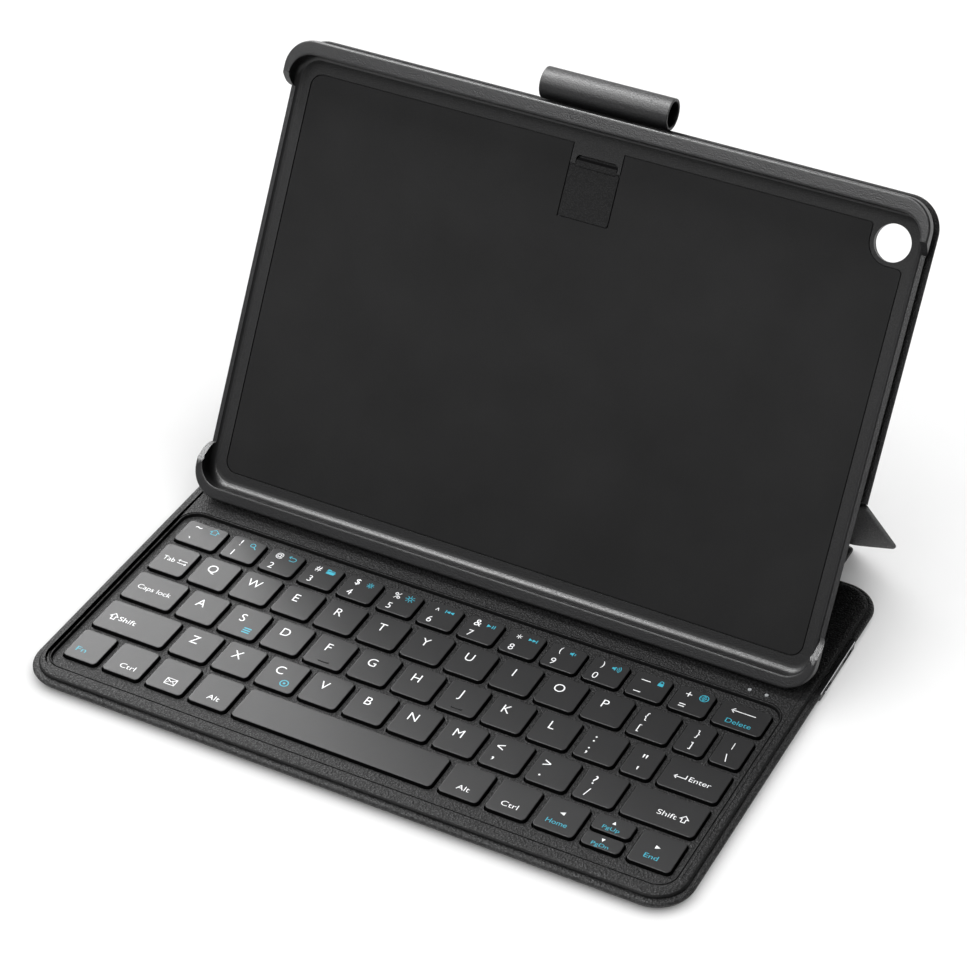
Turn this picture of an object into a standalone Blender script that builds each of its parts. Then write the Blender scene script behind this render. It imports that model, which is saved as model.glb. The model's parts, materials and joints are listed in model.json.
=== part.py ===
"""Folio keyboard case for a tablet of about ten inches, standing open at its typing angle.

A flat keyboard base lies on the table.  A spine strip is hinged to the base's rear edge, a stand
leaf is hinged to the spine, and a back panel with the tablet tray is hinged to the leaf at a
crease.  All of the numbers below are millimetres and degrees; MM turns them into metres.

World frame: X to the right, Y towards the stand, Z up, table at Z = 0.
"""
import math

import bmesh
import bpy
from mathutils import Matrix

MM = 0.001
GAP = 0.3                       # play between neighbouring pieces

# Frame: the front edge of the bottom key row lies at this world Y, which centres the case.
KEY_FRONT_Y = -93.2

# Keyboard base
BASE_HALF_WIDTH = 127.7
BASE_FRONT = -14.3              # measured from the front edge of the bottom key row
BASE_REAR = 166.5
BASE_CORNER = 14.0
COVER_TOP = 4.5                 # top of the bottom cover's rim
COVER_FLOOR = 0.7
DECK_TOP = 5.9
DECK_SKIN = 1.0
WELL_HALF_WIDTH = 121.6         # opening of the deck around the keys
WELL_FRONT = -6.0
WELL_REAR = 90.6
WELL_CORNER = 6.5
PLATE_TOP = 3.7
PLATE_THICKNESS = 0.6

# Keys
KEY_TOP = 5.8
KEY_BOTTOM = 3.2
KEY_TRAVEL = 1.0
KEY_WIDTH = 15.0
KEY_DEPTH = 15.5
KEY_GAP = 2.7
KEY_AREA_WIDTH = 236.0
ROW_PITCH = 18.3
TOP_ROW_DEPTH = 12.7
NUMBER_KEY_WIDTH = 13.8
HALF_KEY_DEPTH = 6.3            # the two stacked arrow keys
HALF_KEY_SPACE = 1.6
KEY_CORNER = 2.0
KEY_CHAMFER = 0.25
WEB_BOTTOM = 2.3                # hidden bar that joins a group of keys below the key plate
WEB_TOP = 2.7

# Controls on the base's right side and the two lamps
BEZEL_FRONT = 105.0
BEZEL_REAR = 137.0
BEZEL_BOTTOM = 1.2
PORT_Y = 130.0
SWITCH_Y = 110.0
SWITCH_TRAVEL = 2.4
LAMP_X = (105.3, 111.7)
LAMP_Y = 94.4

# Stand: hinge axes and sheets
HINGE_Y = 167.6                 # base to spine
HINGE_Z = 0.8
SPINE_LENGTH = 24.4             # from the base hinge to the leaf hinge
SPINE_HALF_WIDTH = 106.3
SHEET = 1.6                     # thickness of spine, leaf and back panel
LEAF_ANGLE = 130.0              # leaf's direction, measured from +Y towards +Z
LEAF_LENGTH = 79.75
LEAF_CORNER_CUT = 20.0
PANEL_HALF_WIDTH = 126.0
HINGE_PLAY = 0.7                # a sheet's edge stops this far from its hinge axis
FOLD_PLAY = 2.05                # further where spine and leaf fold sharply at the table

# Tray, in its own frame: x across, v up along the tray, h out of the tray's floor
TRAY_ANGLE = 60.0
CREASE_V = 57.5
CREASE_H = -3.0
TRAY_HALF_WIDTH = 125.7
TRAY_BOTTOM_V = -10.4
TRAY_TOP_V = 164.7
TRAY_CORNER = 11.0
TRAY_BACK_H = -1.8
RIM_TOP_H = 8.5
RIM_ROUND = 7.0                 # rounding of the tray's outer lower edge
LIP_ROUND = 1.6
POCKET_HALF_WIDTH = 123.5
POCKET_BOTTOM_V = -6.3
POCKET_TOP_V = 159.8
POCKET_CORNER = 9.0
COVE = 3.2
LIP = 0.5
CUTOUT_H = 1.2
CUTOUT_BOTTOM_V = 9.4
CUTOUT_TOP_V = 146.3
PAD_HALF_WIDTH = 117.3
PAD_HEIGHT = 152.7
PAD_THICKNESS = 0.5
PAD_RECESS = 0.8
PAD_CORNER = 4.5
PANEL_TOP_V = 165.2
PANEL_CORNER = 12.0
CAMERA_X = 111.8
CAMERA_V = 147.6
CAMERA_RADIUS = 6.65
CAMERA_RING = 8.4
TAB_LEFT = -10.1
TAB_RIGHT = 9.4
TAB_BOTTOM_V = 126.0
SLOT_BOTTOM_V = 145.6
SLOT_TOP_V = 149.0
LOOP_V = 170.9
LOOP_X = -1.4
LOOP_LENGTH = 50.0
LOOP_RADIUS = 5.8
LOOP_WALL = 1.1
STRAP_HALF = 7.9

CORNER_STEPS = 5

MATERIALS = {
    "leather": ((0.030, 0.030, 0.032), 0.62, 0.0),
    "deck_leather": ((0.040, 0.040, 0.042), 0.60, 0.0),
    "keycap": ((0.060, 0.060, 0.062), 0.45, 0.0),
    "shell_plastic": ((0.045, 0.045, 0.047), 0.40, 0.0),
    "pad_microfibre": ((0.025, 0.025, 0.026), 0.85, 0.0),
    "inner_plastic": ((0.020, 0.020, 0.022), 0.50, 0.0),
    "circuit": ((0.010, 0.120, 0.050), 0.50, 0.0),
    "battery_foil": ((0.250, 0.250, 0.270), 0.40, 0.0),
    "magnet": ((0.500, 0.500, 0.520), 0.30, 1.0),
    "bare_metal": ((0.600, 0.600, 0.620), 0.25, 1.0),
    "lamp": ((0.800, 0.850, 0.900), 0.20, 0.0),
}


# ---------------------------------------------------------------- helpers

def clear_scene():
    for obj in list(bpy.data.objects):
        bpy.data.objects.remove(obj, do_unlink=True)


def material(name):
    found = bpy.data.materials.get(name)
    if found:
        return found
    colour, roughness, metallic = MATERIALS[name]
    made = bpy.data.materials.new(name)
    made.use_nodes = True
    shader = made.node_tree.nodes["Principled BSDF"]
    shader.inputs["Base Color"].default_value = (*colour, 1.0)
    shader.inputs["Roughness"].default_value = roughness
    shader.inputs["Metallic"].default_value = metallic
    return made


def empty(name, parent, location=(0.0, 0.0, 0.0), tilt=0.0):
    """A frame for one moving group; tilt turns it about X, in degrees."""
    frame = bpy.data.objects.new(name, None)
    bpy.context.scene.collection.objects.link(frame)
    frame.parent = parent
    frame.location = [c * MM for c in location]
    frame.rotation_euler = (math.radians(tilt), 0.0, 0.0)
    return frame


def mesh_object(name, verts, faces, material_name, parent, origin=(0.0, 0.0, 0.0)):
    """One closed mesh from points in millimetres, with its faces turned outwards."""
    mesh = bpy.data.meshes.new(name)
    shifted = [[(p[i] - origin[i]) * MM for i in range(3)] for p in verts]
    mesh.from_pydata(shifted, [], faces)
    work = bmesh.new()
    work.from_mesh(mesh)
    bmesh.ops.recalc_face_normals(work, faces=work.faces)
    work.to_mesh(mesh)
    work.free()
    mesh.materials.append(material(material_name))
    obj = bpy.data.objects.new(name, mesh)
    bpy.context.scene.collection.objects.link(obj)
    obj.parent = parent
    obj.location = [c * MM for c in origin]
    return obj


def loft_mesh(rings, closed=False):
    """Skin a list of equal point rings; a closed loft joins the last ring to the first."""
    count = len(rings[0])
    verts = [point for ring in rings for point in ring]
    faces = []
    joins = len(rings) if closed else len(rings) - 1
    for k in range(joins):
        a = k * count
        b = ((k + 1) % len(rings)) * count
        for i in range(count):
            j = (i + 1) % count
            faces.append((a + i, a + j, b + j, b + i))
    if not closed:
        faces.append(tuple(range(count)))
        faces.append(tuple(range((len(rings) - 1) * count, len(rings) * count)))
    return verts, faces


def loft(name, rings, material_name, parent, closed=False, origin=(0.0, 0.0, 0.0)):
    verts, faces = loft_mesh(rings, closed)
    return mesh_object(name, verts, faces, material_name, parent, origin)


def cutter(name, parts, parent):
    """A hidden tool made of one or more closed lofts."""
    verts = []
    faces = []
    for part_verts, part_faces in parts:
        first = len(verts)
        verts.extend(part_verts)
        faces.extend(tuple(first + i for i in face) for face in part_faces)
    tool = mesh_object(name, verts, faces, "inner_plastic", parent)
    tool.hide_render = True
    tool.display_type = "WIRE"
    return tool


def boolean(obj, tool, operation="DIFFERENCE"):
    step = obj.modifiers.new(operation.lower(), "BOOLEAN")
    step.operation = operation
    step.solver = "EXACT"
    step.object = tool


def smooth(obj, angle=35.0):
    obj.data.shade_smooth()
    obj.data.set_sharp_from_angle(angle=math.radians(angle))


def arc(cx, cy, radius, start, end, steps):
    points = []
    for k in range(steps + 1):
        turn = math.radians(start + (end - start) * k / steps)
        points.append((cx + radius * math.cos(turn), cy + radius * math.sin(turn)))
    return points


def rectangle(x0, x1, y0, y1, radius, steps=CORNER_STEPS):
    """Anticlockwise rounded rectangle."""
    corners = ((x1, y0, -90.0), (x1, y1, 0.0), (x0, y1, 90.0), (x0, y0, 180.0))
    points = []
    for x, y, start in corners:
        cx = x - math.copysign(radius, x - (x0 + x1) / 2)
        cy = y - math.copysign(radius, y - (y0 + y1) / 2)
        points.extend(arc(cx, cy, radius, start, start + 90.0, steps))
    return points


def level(outline, z):
    return [(x, y, z) for x, y in outline]


def plain_box(x0, x1, y0, y1, z0, z1):
    outline = [(x0, y0), (x1, y0), (x1, y1), (x0, y1)]
    return loft_mesh([level(outline, z0), level(outline, z1)])


def solid_box(name, limits, material_name, parent, origin=(0.0, 0.0, 0.0), radius=0.4):
    x0, x1, y0, y1, z0, z1 = limits
    outline = rectangle(x0, x1, y0, y1, radius, 2)
    rings = [level(outline, z0), level(outline, z1)]
    return loft(name, rings, material_name, parent, origin=origin)


def round_pin(x, y, radius, z0, z1, sides=16):
    outline = arc(x, y, radius, 0.0, 360.0 * (sides - 1) / sides, sides - 1)
    return loft_mesh([level(outline, z0), level(outline, z1)])


# ---------------------------------------------------------------- keyboard base

def base_outline(inset):
    """The base's plan, pulled in from its widest outline."""
    return rectangle(
        -BASE_HALF_WIDTH + inset, BASE_HALF_WIDTH - inset,
        BASE_FRONT + inset, BASE_REAR - inset, BASE_CORNER - inset,
    )


def build_bottom_cover(base):
    """Shallow wrapped dish with a full round edge, open at the top."""
    wall = 3.8
    outside = ((6.2, 0.0), (3.1, 0.55), (1.1, 1.7), (0.1, 3.1), (0.0, 3.7), (0.4, 4.25),
               (1.2, COVER_TOP))
    rings = [level(base_outline(inset), z) for inset, z in outside]
    rings.append(level(base_outline(wall - 0.5), COVER_TOP))
    rings.append(level(base_outline(wall), COVER_FLOOR))
    cover = loft("base_bottom_cover", rings, "leather", base)
    notch = plain_box(125.9, 130.0, BEZEL_FRONT - GAP, BEZEL_REAR + GAP, 0.9, 5.0)
    boolean(cover, cutter("bezel_notch", [notch], base))
    boolean(cover, cutter("side_openings", [
        plain_box(122.0, 127.0, PORT_Y - 4.2, PORT_Y + 4.2, 1.5, 4.0),
        plain_box(122.0, 127.0, SWITCH_Y - 2.6, SWITCH_Y + 5.0, 1.8, 3.9),
    ], base))
    smooth(cover)


def build_deck(base):
    """Top shell: a rounded frame around the key well with a solid strip behind it."""
    def well(outset):
        return rectangle(
            -WELL_HALF_WIDTH - outset, WELL_HALF_WIDTH + outset,
            WELL_FRONT - outset, WELL_REAR + outset, WELL_CORNER + outset,
        )
    under = DECK_TOP - DECK_SKIN
    foot = COVER_TOP + GAP
    rings = [
        level(base_outline(2.3), foot),
        level(base_outline(2.35), 5.15),
        level(base_outline(2.9), 5.62),
        level(base_outline(4.0), DECK_TOP),
        level(well(0.35), DECK_TOP),
        level(well(0.0), DECK_TOP - 0.35),
        level(well(0.0), PLATE_TOP + GAP),
        level(well(0.9), PLATE_TOP + GAP),
        level(well(0.9), under),
        level(base_outline(3.5), under),
        level(base_outline(3.5), foot),
    ]
    deck = loft("keyboard_deck", rings, "deck_leather", base, closed=True)
    holes = [round_pin(x, LAMP_Y, 1.0, 4.0, 7.0) for x in LAMP_X]
    boolean(deck, cutter("lamp_holes", holes, base))
    smooth(deck)


def key_layout():
    """Every key as name: (x0, x1, y0, y1), row by row from the front."""
    def row(names, y0, depth):
        fixed = sum(width for _, width in names if width)
        spare = KEY_AREA_WIDTH - fixed - KEY_GAP * (len(names) - 1)
        x = -KEY_AREA_WIDTH / 2
        placed = {}
        for name, width in names:
            width = width or spare
            placed[name] = (x, x + width, y0, y0 + depth)
            x += width + KEY_GAP
        return placed

    letters = KEY_WIDTH
    keys = {}
    keys.update(row(
        [("fn", 13.6), ("ctrl_left", letters), ("mail", letters), ("alt_left", letters),
         ("space", None), ("alt_right", letters), ("ctrl_right", letters), ("home", letters),
         ("page", 14.1), ("end", 15.7)], 0.0, KEY_DEPTH))
    keys.update(row(
        [("shift_left", 29.3)] + [(c, letters) for c in "zxcvbnm"]
        + [("comma", letters), ("period", letters), ("slash", letters), ("shift_right", None)],
        ROW_PITCH, KEY_DEPTH))
    keys.update(row(
        [("caps_lock", 20.6)] + [(c, letters) for c in "asdfghjkl"]
        + [("semicolon", letters), ("quote", 10.9), ("enter", None)], 2 * ROW_PITCH, KEY_DEPTH))
    keys.update(row(
        [("tab", None)] + [(c, letters) for c in "qwertyuiop"]
        + [("bracket_left", letters), ("bracket_right", 10.7), ("backslash", 11.0)],
        3 * ROW_PITCH, KEY_DEPTH))
    keys.update(row(
        [("grave", 16.9)] + [(f"number_{c}", NUMBER_KEY_WIDTH) for c in "1234567890"]
        + [("minus", NUMBER_KEY_WIDTH), ("equal", NUMBER_KEY_WIDTH), ("delete", None)],
        4 * ROW_PITCH, TOP_ROW_DEPTH))
    x0, x1, y0, y1 = keys.pop("page")
    keys["page_down"] = (x0, x1, y0, y0 + HALF_KEY_DEPTH)
    keys["page_up"] = (x0, x1, y0 + HALF_KEY_DEPTH + HALF_KEY_SPACE, y1)
    return keys


KEY_GROUPS = {
    "keys_numbers": ["grave"] + [f"number_{c}" for c in "1234567890"] + ["minus", "equal"],
    "keys_brackets": ["bracket_left", "bracket_right", "backslash"],
    "keys_quotes": ["semicolon", "quote"],
    "keys_punctuation": ["comma", "period", "slash"],
    "keys_bottom_left": ["fn", "ctrl_left", "mail", "alt_left"],
    "keys_bottom_right": ["alt_right", "ctrl_right", "home", "page_down", "page_up", "end"],
}


def cap_rings(limits, stem=False):
    """Key cap with a chamfered top; a stem carries a grouped cap down to its bar."""
    x0, x1, y0, y1 = limits
    body = rectangle(x0, x1, y0, y1, KEY_CORNER, 2)
    inset = KEY_CHAMFER
    crown = rectangle(x0 + inset, x1 - inset, y0 + inset, y1 - inset, KEY_CORNER - inset, 2)
    rings = []
    if stem:
        cx = (x0 + x1) / 2
        cy = (y0 + y1) / 2
        foot = rectangle(cx - 2.5, cx + 2.5, cy - 1.5, cy + 1.5, 0.4, 2)
        rings.extend([level(foot, (WEB_BOTTOM + WEB_TOP) / 2), level(foot, KEY_BOTTOM)])
    rings.extend([level(body, KEY_BOTTOM), level(body, KEY_TOP - inset), level(crown, KEY_TOP)])
    return rings


def build_keys(base, keys):
    grouped = {name for names in KEY_GROUPS.values() for name in names}
    for name, (x0, x1, y0, y1) in keys.items():
        if name in grouped:
            continue
        centre = ((x0 + x1) / 2, (y0 + y1) / 2, KEY_BOTTOM)
        loft(f"key_{name}", cap_rings((x0, x1, y0, y1)), "keycap", base, origin=centre)
    for group, names in KEY_GROUPS.items():
        middles = [((keys[n][0] + keys[n][1]) / 2, (keys[n][2] + keys[n][3]) / 2) for n in names]
        xs = [m[0] for m in middles]
        ys = [m[1] for m in middles]
        bar = solid_box(
            group,
            (min(xs) - 3.5, max(xs) + 3.5, min(ys) - 2.5, max(ys) + 2.5, WEB_BOTTOM, WEB_TOP),
            "keycap", base)
        caps = cutter(f"{group}_caps", [loft_mesh(cap_rings(keys[n], stem=True)) for n in names], base)
        boolean(bar, caps, "UNION")


def build_key_plate(base, keys):
    """Sheet at the bottom of the key well with a clear opening for each key."""
    clear = 0.35
    outline = rectangle(
        -WELL_HALF_WIDTH - 0.9, WELL_HALF_WIDTH + 0.9, WELL_FRONT - 0.9, WELL_REAR + 0.9, WELL_CORNER)
    rings = [level(outline, PLATE_TOP - PLATE_THICKNESS), level(outline, PLATE_TOP)]
    plate = loft("key_plate", rings, "deck_leather", base)
    windows = [
        plain_box(x0 - clear, x1 + clear, y0 - clear, y1 + clear, PLATE_TOP - 1.5, PLATE_TOP + 1.0)
        for x0, x1, y0, y1 in keys.values()
    ]
    boolean(plate, cutter("key_windows", windows, base))


def build_inside(base):
    """Dome sheet, circuit board, battery and the two magnets that hold the tray's foot."""
    solid_box("dome_sheet", (-120.0, 120.0, -4.5, 89.0, 1.0, 1.2), "inner_plastic", base, radius=2.0)
    solid_box("circuit_board", (62.0, 118.0, 97.0, 150.0, 1.0, 1.8), "circuit", base, radius=1.0)
    solid_box("battery", (-55.0, 40.0, 110.0, 152.0, 1.0, 4.0), "battery_foil", base, radius=1.5)
    for side, x in (("left", -72.0), ("right", 72.0)):
        limits = (x - 20.0, x + 20.0, 100.0, 106.0, 2.6, DECK_TOP - DECK_SKIN - GAP)
        solid_box(f"magnet_{side}", limits, "magnet", base)
    for name, x in zip(("power_lamp", "link_lamp"), LAMP_X):
        verts, faces = round_pin(x, LAMP_Y, 0.7, 4.3, DECK_TOP + 0.05)
        smooth(mesh_object(name, verts, faces, "lamp", base))


def build_side_controls(base):
    """Bezel let into the right edge, with the charging port and the sliding switch."""
    bezel = solid_box(
        "side_bezel", (126.2, 127.6, BEZEL_FRONT, BEZEL_REAR, BEZEL_BOTTOM, COVER_TOP),
        "inner_plastic", base)
    boolean(bezel, cutter("bezel_openings", [
        plain_box(125.0, 129.0, PORT_Y - 3.9, PORT_Y + 3.9, 1.6, 3.9),
        plain_box(125.0, 129.0, SWITCH_Y - 2.3, SWITCH_Y + 4.7, 2.0, 3.7),
    ], base))
    port = solid_box(
        "charge_port", (119.0, 127.3, PORT_Y - 3.5, PORT_Y + 3.5, 1.9, 3.6), "bare_metal", base)
    boolean(port, cutter("port_mouth", [
        plain_box(121.5, 128.5, PORT_Y - 3.1, PORT_Y + 3.1, 2.25, 3.25)], base))
    solid_box(
        "power_switch", (121.0, 128.4, SWITCH_Y - 1.6, SWITCH_Y + 1.6, 2.3, 3.4),
        "bare_metal", base, origin=(126.0, SWITCH_Y, 2.85), radius=0.3)


# ---------------------------------------------------------------- stand and back panel

def edged_sheet(name, outline, inner, z, material_name, parent):
    """Flat sheet about height z with small chamfers; inner is the outline pulled in."""
    half = SHEET / 2
    rings = [
        level(inner, z - half), level(outline, z - half + 0.4),
        level(outline, z + half - 0.4), level(inner, z + half),
    ]
    return loft(name, rings, material_name, parent)


def build_spine(spine_frame):
    def strip(inset):
        return rectangle(
            -SPINE_HALF_WIDTH + inset, SPINE_HALF_WIDTH - inset,
            HINGE_PLAY + inset, SPINE_LENGTH - FOLD_PLAY - inset, 1.0, 2)
    edged_sheet("spine_board", strip(0.0), strip(0.4), 0.0, "leather", spine_frame)


def leaf_outline(inset):
    """Leaf in its own plane: square at the crease, cut corners at the table."""
    wide = PANEL_HALF_WIDTH - inset
    narrow = SPINE_HALF_WIDTH - inset * 0.4
    low = FOLD_PLAY + inset
    high = LEAF_LENGTH - HINGE_PLAY - inset
    cut = LEAF_CORNER_CUT + inset * 0.4
    right = [(narrow - 4.0, low), (narrow + 1.5, low + 0.9), (wide - 1.8, cut - 3.6), (wide, cut + 2.0),
             (wide, high)]
    left = [(-x, y) for x, y in reversed(right)]
    return right + left


def build_leaf(stand_frame):
    edged_sheet("stand_leaf", leaf_outline(0.0), leaf_outline(0.4), 0.0, "leather", stand_frame)


def tray_local(outline, h):
    """Points given in the tray's x, v, h become points about the crease axis."""
    return [(x, v - CREASE_V, h - CREASE_H) for x, v in outline]


def camera_hole(radius, h0, h1):
    outline = arc(CAMERA_X, CAMERA_V, radius, 0.0, 345.0, 23)
    return loft_mesh([tray_local(outline, h0), tray_local(outline, h1)])


def build_back_panel(tray_frame):
    def plan(inset):
        low = CREASE_V + HINGE_PLAY + inset
        high = PANEL_TOP_V - inset
        wide = PANEL_HALF_WIDTH - inset
        points = [(wide, low)]
        radius = PANEL_CORNER - inset
        points += arc(wide - radius, high - radius, radius, 0.0, 90.0, 8)
        return points + [(-x, v) for x, v in reversed(points)]
    half = SHEET / 2
    rings = []
    for inset, dh in ((0.4, -half), (0.0, 0.4 - half), (0.0, half - 0.4), (0.4, half)):
        rings.append(tray_local(plan(inset), CREASE_H + dh))
    panel = loft("back_panel", rings, "leather", tray_frame)
    boolean(panel, cutter("panel_hole", [camera_hole(CAMERA_RADIUS + 0.3, -6.0, 0.0)], tray_frame))
    smooth(panel)


# ---------------------------------------------------------------- tray

def tray_outer(inset):
    return rectangle(
        -TRAY_HALF_WIDTH + inset, TRAY_HALF_WIDTH - inset,
        TRAY_BOTTOM_V + inset, TRAY_TOP_V - inset, TRAY_CORNER - inset, 6)


def tray_pocket(inset):
    return rectangle(
        -POCKET_HALF_WIDTH + inset, POCKET_HALF_WIDTH - inset,
        POCKET_BOTTOM_V + inset, POCKET_TOP_V - inset, POCKET_CORNER - inset, 6)


def pad_outline(offset, notch_bottom):
    """Pad's plan with the notch for the pen tab and the cut round the camera hole."""
    wide = PAD_HALF_WIDTH + offset
    low = -offset
    high = PAD_HEIGHT + offset
    corner = PAD_CORNER + offset
    ring = CAMERA_RING - offset
    points = arc(wide - corner, low + corner, corner, -90.0, 0.0, 4)
    points += arc(wide - 1.5, CAMERA_V - ring - 1.5, 1.5, 0.0, 90.0, 2)
    points += arc(CAMERA_X, CAMERA_V, ring, 270.0, 180.0, 6)
    points += arc(CAMERA_X - ring - 1.0, high - 1.0, 1.0, 0.0, 90.0, 2)
    points += [(TAB_RIGHT + GAP - offset, high), (TAB_RIGHT + GAP - offset, notch_bottom)]
    points += [(TAB_LEFT - GAP + offset, notch_bottom), (TAB_LEFT - GAP + offset, high)]
    points += arc(-wide + corner, high - corner, corner, 90.0, 180.0, 4)
    points += arc(-wide + corner, low + corner, corner, 180.0, 270.0, 4)
    return points


def cutout_loft(side):
    """Prism that opens one side of the tray between its corner wraps, with sloping ends."""
    top = RIM_TOP_H + 1.5
    rise = top - CUTOUT_H
    profile = [
        (CUTOUT_BOTTOM_V, CUTOUT_H), (CUTOUT_TOP_V, CUTOUT_H),
        (CUTOUT_TOP_V + rise * 0.72, top), (CUTOUT_BOTTOM_V - rise, top),
    ]
    near = [(side * 119.0, v - CREASE_V, h - CREASE_H) for v, h in profile]
    far = [(side * 130.0, v - CREASE_V, h - CREASE_H) for v, h in profile]
    return loft_mesh([near, far])


def build_tray_shell(tray_frame):
    rings = []
    for turn in (90.0, 68.0, 45.0, 22.0, 0.0):
        inset = RIM_ROUND * (1.0 - math.cos(math.radians(turn)))
        h = TRAY_BACK_H + RIM_ROUND * (1.0 - math.sin(math.radians(turn)))
        rings.append(tray_local(tray_outer(inset), h))
    for turn in (0.0, 45.0, 90.0):
        inset = LIP_ROUND * (1.0 - math.cos(math.radians(turn)))
        h = RIM_TOP_H - LIP_ROUND * (1.0 - math.sin(math.radians(turn)))
        rings.append(tray_local(tray_outer(inset), h))
    rings.append(tray_local(tray_pocket(0.1), RIM_TOP_H))
    rings.append(tray_local(tray_pocket(LIP), RIM_TOP_H - 0.4))
    rings.append(tray_local(tray_pocket(0.0), RIM_TOP_H - 1.5))
    for turn in (0.0, 30.0, 60.0, 90.0):
        inset = COVE * (1.0 - math.cos(math.radians(turn)))
        h = COVE * (1.0 - math.sin(math.radians(turn)))
        rings.append(tray_local(tray_pocket(inset), h))
    shell = loft("tray_shell", rings, "shell_plastic", tray_frame)
    boolean(shell, cutter("side_cutouts", [cutout_loft(1.0), cutout_loft(-1.0)], tray_frame))
    recess = pad_outline(GAP, SLOT_BOTTOM_V)
    boolean(shell, cutter("pad_recess", [loft_mesh([
        tray_local(recess, -PAD_RECESS), tray_local(recess, 1.0)])], tray_frame))
    slot = rectangle(-8.2, 8.2, SLOT_BOTTOM_V - 0.6, SLOT_TOP_V, 1.2, 3)
    channel = rectangle(-8.2, 8.2, SLOT_BOTTOM_V + 2.0, TRAY_TOP_V + 1.0, 0.2, 1)
    boolean(shell, cutter("tray_holes", [
        camera_hole(CAMERA_RADIUS, -4.0, 4.0),
        loft_mesh([tray_local(slot, -4.0), tray_local(slot, 4.0)]),
    ], tray_frame))
    boolean(shell, cutter("strap_channel", [loft_mesh([
        tray_local(channel, TRAY_BACK_H - 1.0),
        tray_local(channel, TRAY_BACK_H + PAD_RECESS)])], tray_frame))
    smooth(shell)


def build_pad(tray_frame):
    outline = pad_outline(0.0, TAB_BOTTOM_V)
    loft("tray_pad", [tray_local(outline, -PAD_THICKNESS), tray_local(outline, 0.0)],
         "pad_microfibre", tray_frame)


def build_pen_loop(tray_frame):
    """Leather strap: a tab glued in the tray, a run through the slot and up behind, then a tube."""
    def hoop(radius, x):
        return [(x, v - CREASE_V, h - CREASE_H) for v, h in arc(LOOP_V, 0.0, radius, 0.0, 345.0, 23)]
    left = LOOP_X - LOOP_LENGTH / 2
    right = LOOP_X + LOOP_LENGTH / 2
    inner = LOOP_RADIUS - LOOP_WALL
    rings = [hoop(LOOP_RADIUS, left), hoop(LOOP_RADIUS, right), hoop(inner, right), hoop(inner, left)]
    tube = loft("pen_loop", rings, "leather", tray_frame, closed=True)
    back = TRAY_BACK_H
    front = back + PAD_THICKNESS
    top = LOOP_V - inner - LOOP_WALL / 2
    run = [
        (SLOT_BOTTOM_V - 1.0, -PAD_THICKNESS), (SLOT_BOTTOM_V + 1.0, -PAD_THICKNESS),
        (SLOT_BOTTOM_V + 1.8, back), (top, back), (top, front), (SLOT_BOTTOM_V + 2.4, front),
        (SLOT_BOTTOM_V + 1.5, 0.0), (SLOT_BOTTOM_V - 1.0, 0.0),
    ]
    sides = [[(x, v - CREASE_V, h - CREASE_H) for v, h in run] for x in (-STRAP_HALF, STRAP_HALF)]
    boolean(tube, cutter("strap_run", [loft_mesh(sides)], tray_frame), "UNION")
    tab = rectangle(TAB_LEFT, TAB_RIGHT, TAB_BOTTOM_V + GAP, SLOT_BOTTOM_V - GAP, 0.8, 2)
    tab_rings = [tray_local(tab, -PAD_THICKNESS), tray_local(tab, 0.0)]
    boolean(tube, cutter("strap_tab", [loft_mesh(tab_rings)], tray_frame), "UNION")
    smooth(tube)


# ---------------------------------------------------------------- assembly

def main():
    clear_scene()
    base = empty("base_frame", None, (0.0, KEY_FRONT_Y, 0.0))
    keys = key_layout()
    build_bottom_cover(base)
    build_deck(base)
    build_key_plate(base, keys)
    build_keys(base, keys)
    build_inside(base)
    build_side_controls(base)
    spine_frame = empty("spine_axis", base, (0.0, HINGE_Y, HINGE_Z))
    build_spine(spine_frame)
    stand_frame = empty("stand_axis", spine_frame, (0.0, SPINE_LENGTH, 0.0), LEAF_ANGLE)
    build_leaf(stand_frame)
    tray_frame = empty("tray_axis", stand_frame, (0.0, LEAF_LENGTH, 0.0), TRAY_ANGLE - LEAF_ANGLE)
    build_back_panel(tray_frame)
    build_tray_shell(tray_frame)
    build_pad(tray_frame)
    build_pen_loop(tray_frame)
    bpy.context.view_layer.update()


main()
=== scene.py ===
"""Looks of the tablet keyboard case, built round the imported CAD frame.

Lengths are millimetres in the CAD's own frame; MM turns them into metres.
"""
import copy
import json
import math

import bmesh
import bpy
from mathutils import Matrix, Vector


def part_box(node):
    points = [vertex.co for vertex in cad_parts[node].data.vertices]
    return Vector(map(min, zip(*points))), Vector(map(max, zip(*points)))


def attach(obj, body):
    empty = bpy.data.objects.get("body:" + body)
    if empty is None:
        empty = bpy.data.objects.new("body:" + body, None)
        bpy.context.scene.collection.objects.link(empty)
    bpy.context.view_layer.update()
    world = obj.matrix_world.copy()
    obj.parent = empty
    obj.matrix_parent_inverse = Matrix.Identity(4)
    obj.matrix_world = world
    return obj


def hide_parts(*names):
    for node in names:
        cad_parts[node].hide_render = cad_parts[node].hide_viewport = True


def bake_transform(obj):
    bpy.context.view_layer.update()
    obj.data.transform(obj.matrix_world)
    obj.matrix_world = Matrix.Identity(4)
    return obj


MM = 0.001
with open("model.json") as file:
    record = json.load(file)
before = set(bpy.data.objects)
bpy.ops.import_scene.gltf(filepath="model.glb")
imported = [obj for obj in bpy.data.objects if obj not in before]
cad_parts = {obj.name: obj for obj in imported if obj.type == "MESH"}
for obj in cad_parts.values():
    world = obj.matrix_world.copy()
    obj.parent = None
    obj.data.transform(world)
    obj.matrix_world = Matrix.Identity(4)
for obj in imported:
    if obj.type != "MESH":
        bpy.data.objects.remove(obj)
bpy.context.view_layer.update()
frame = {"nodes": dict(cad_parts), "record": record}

KEY_FRONT_Y = -93.2             # front edge of the bottom key row

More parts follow.
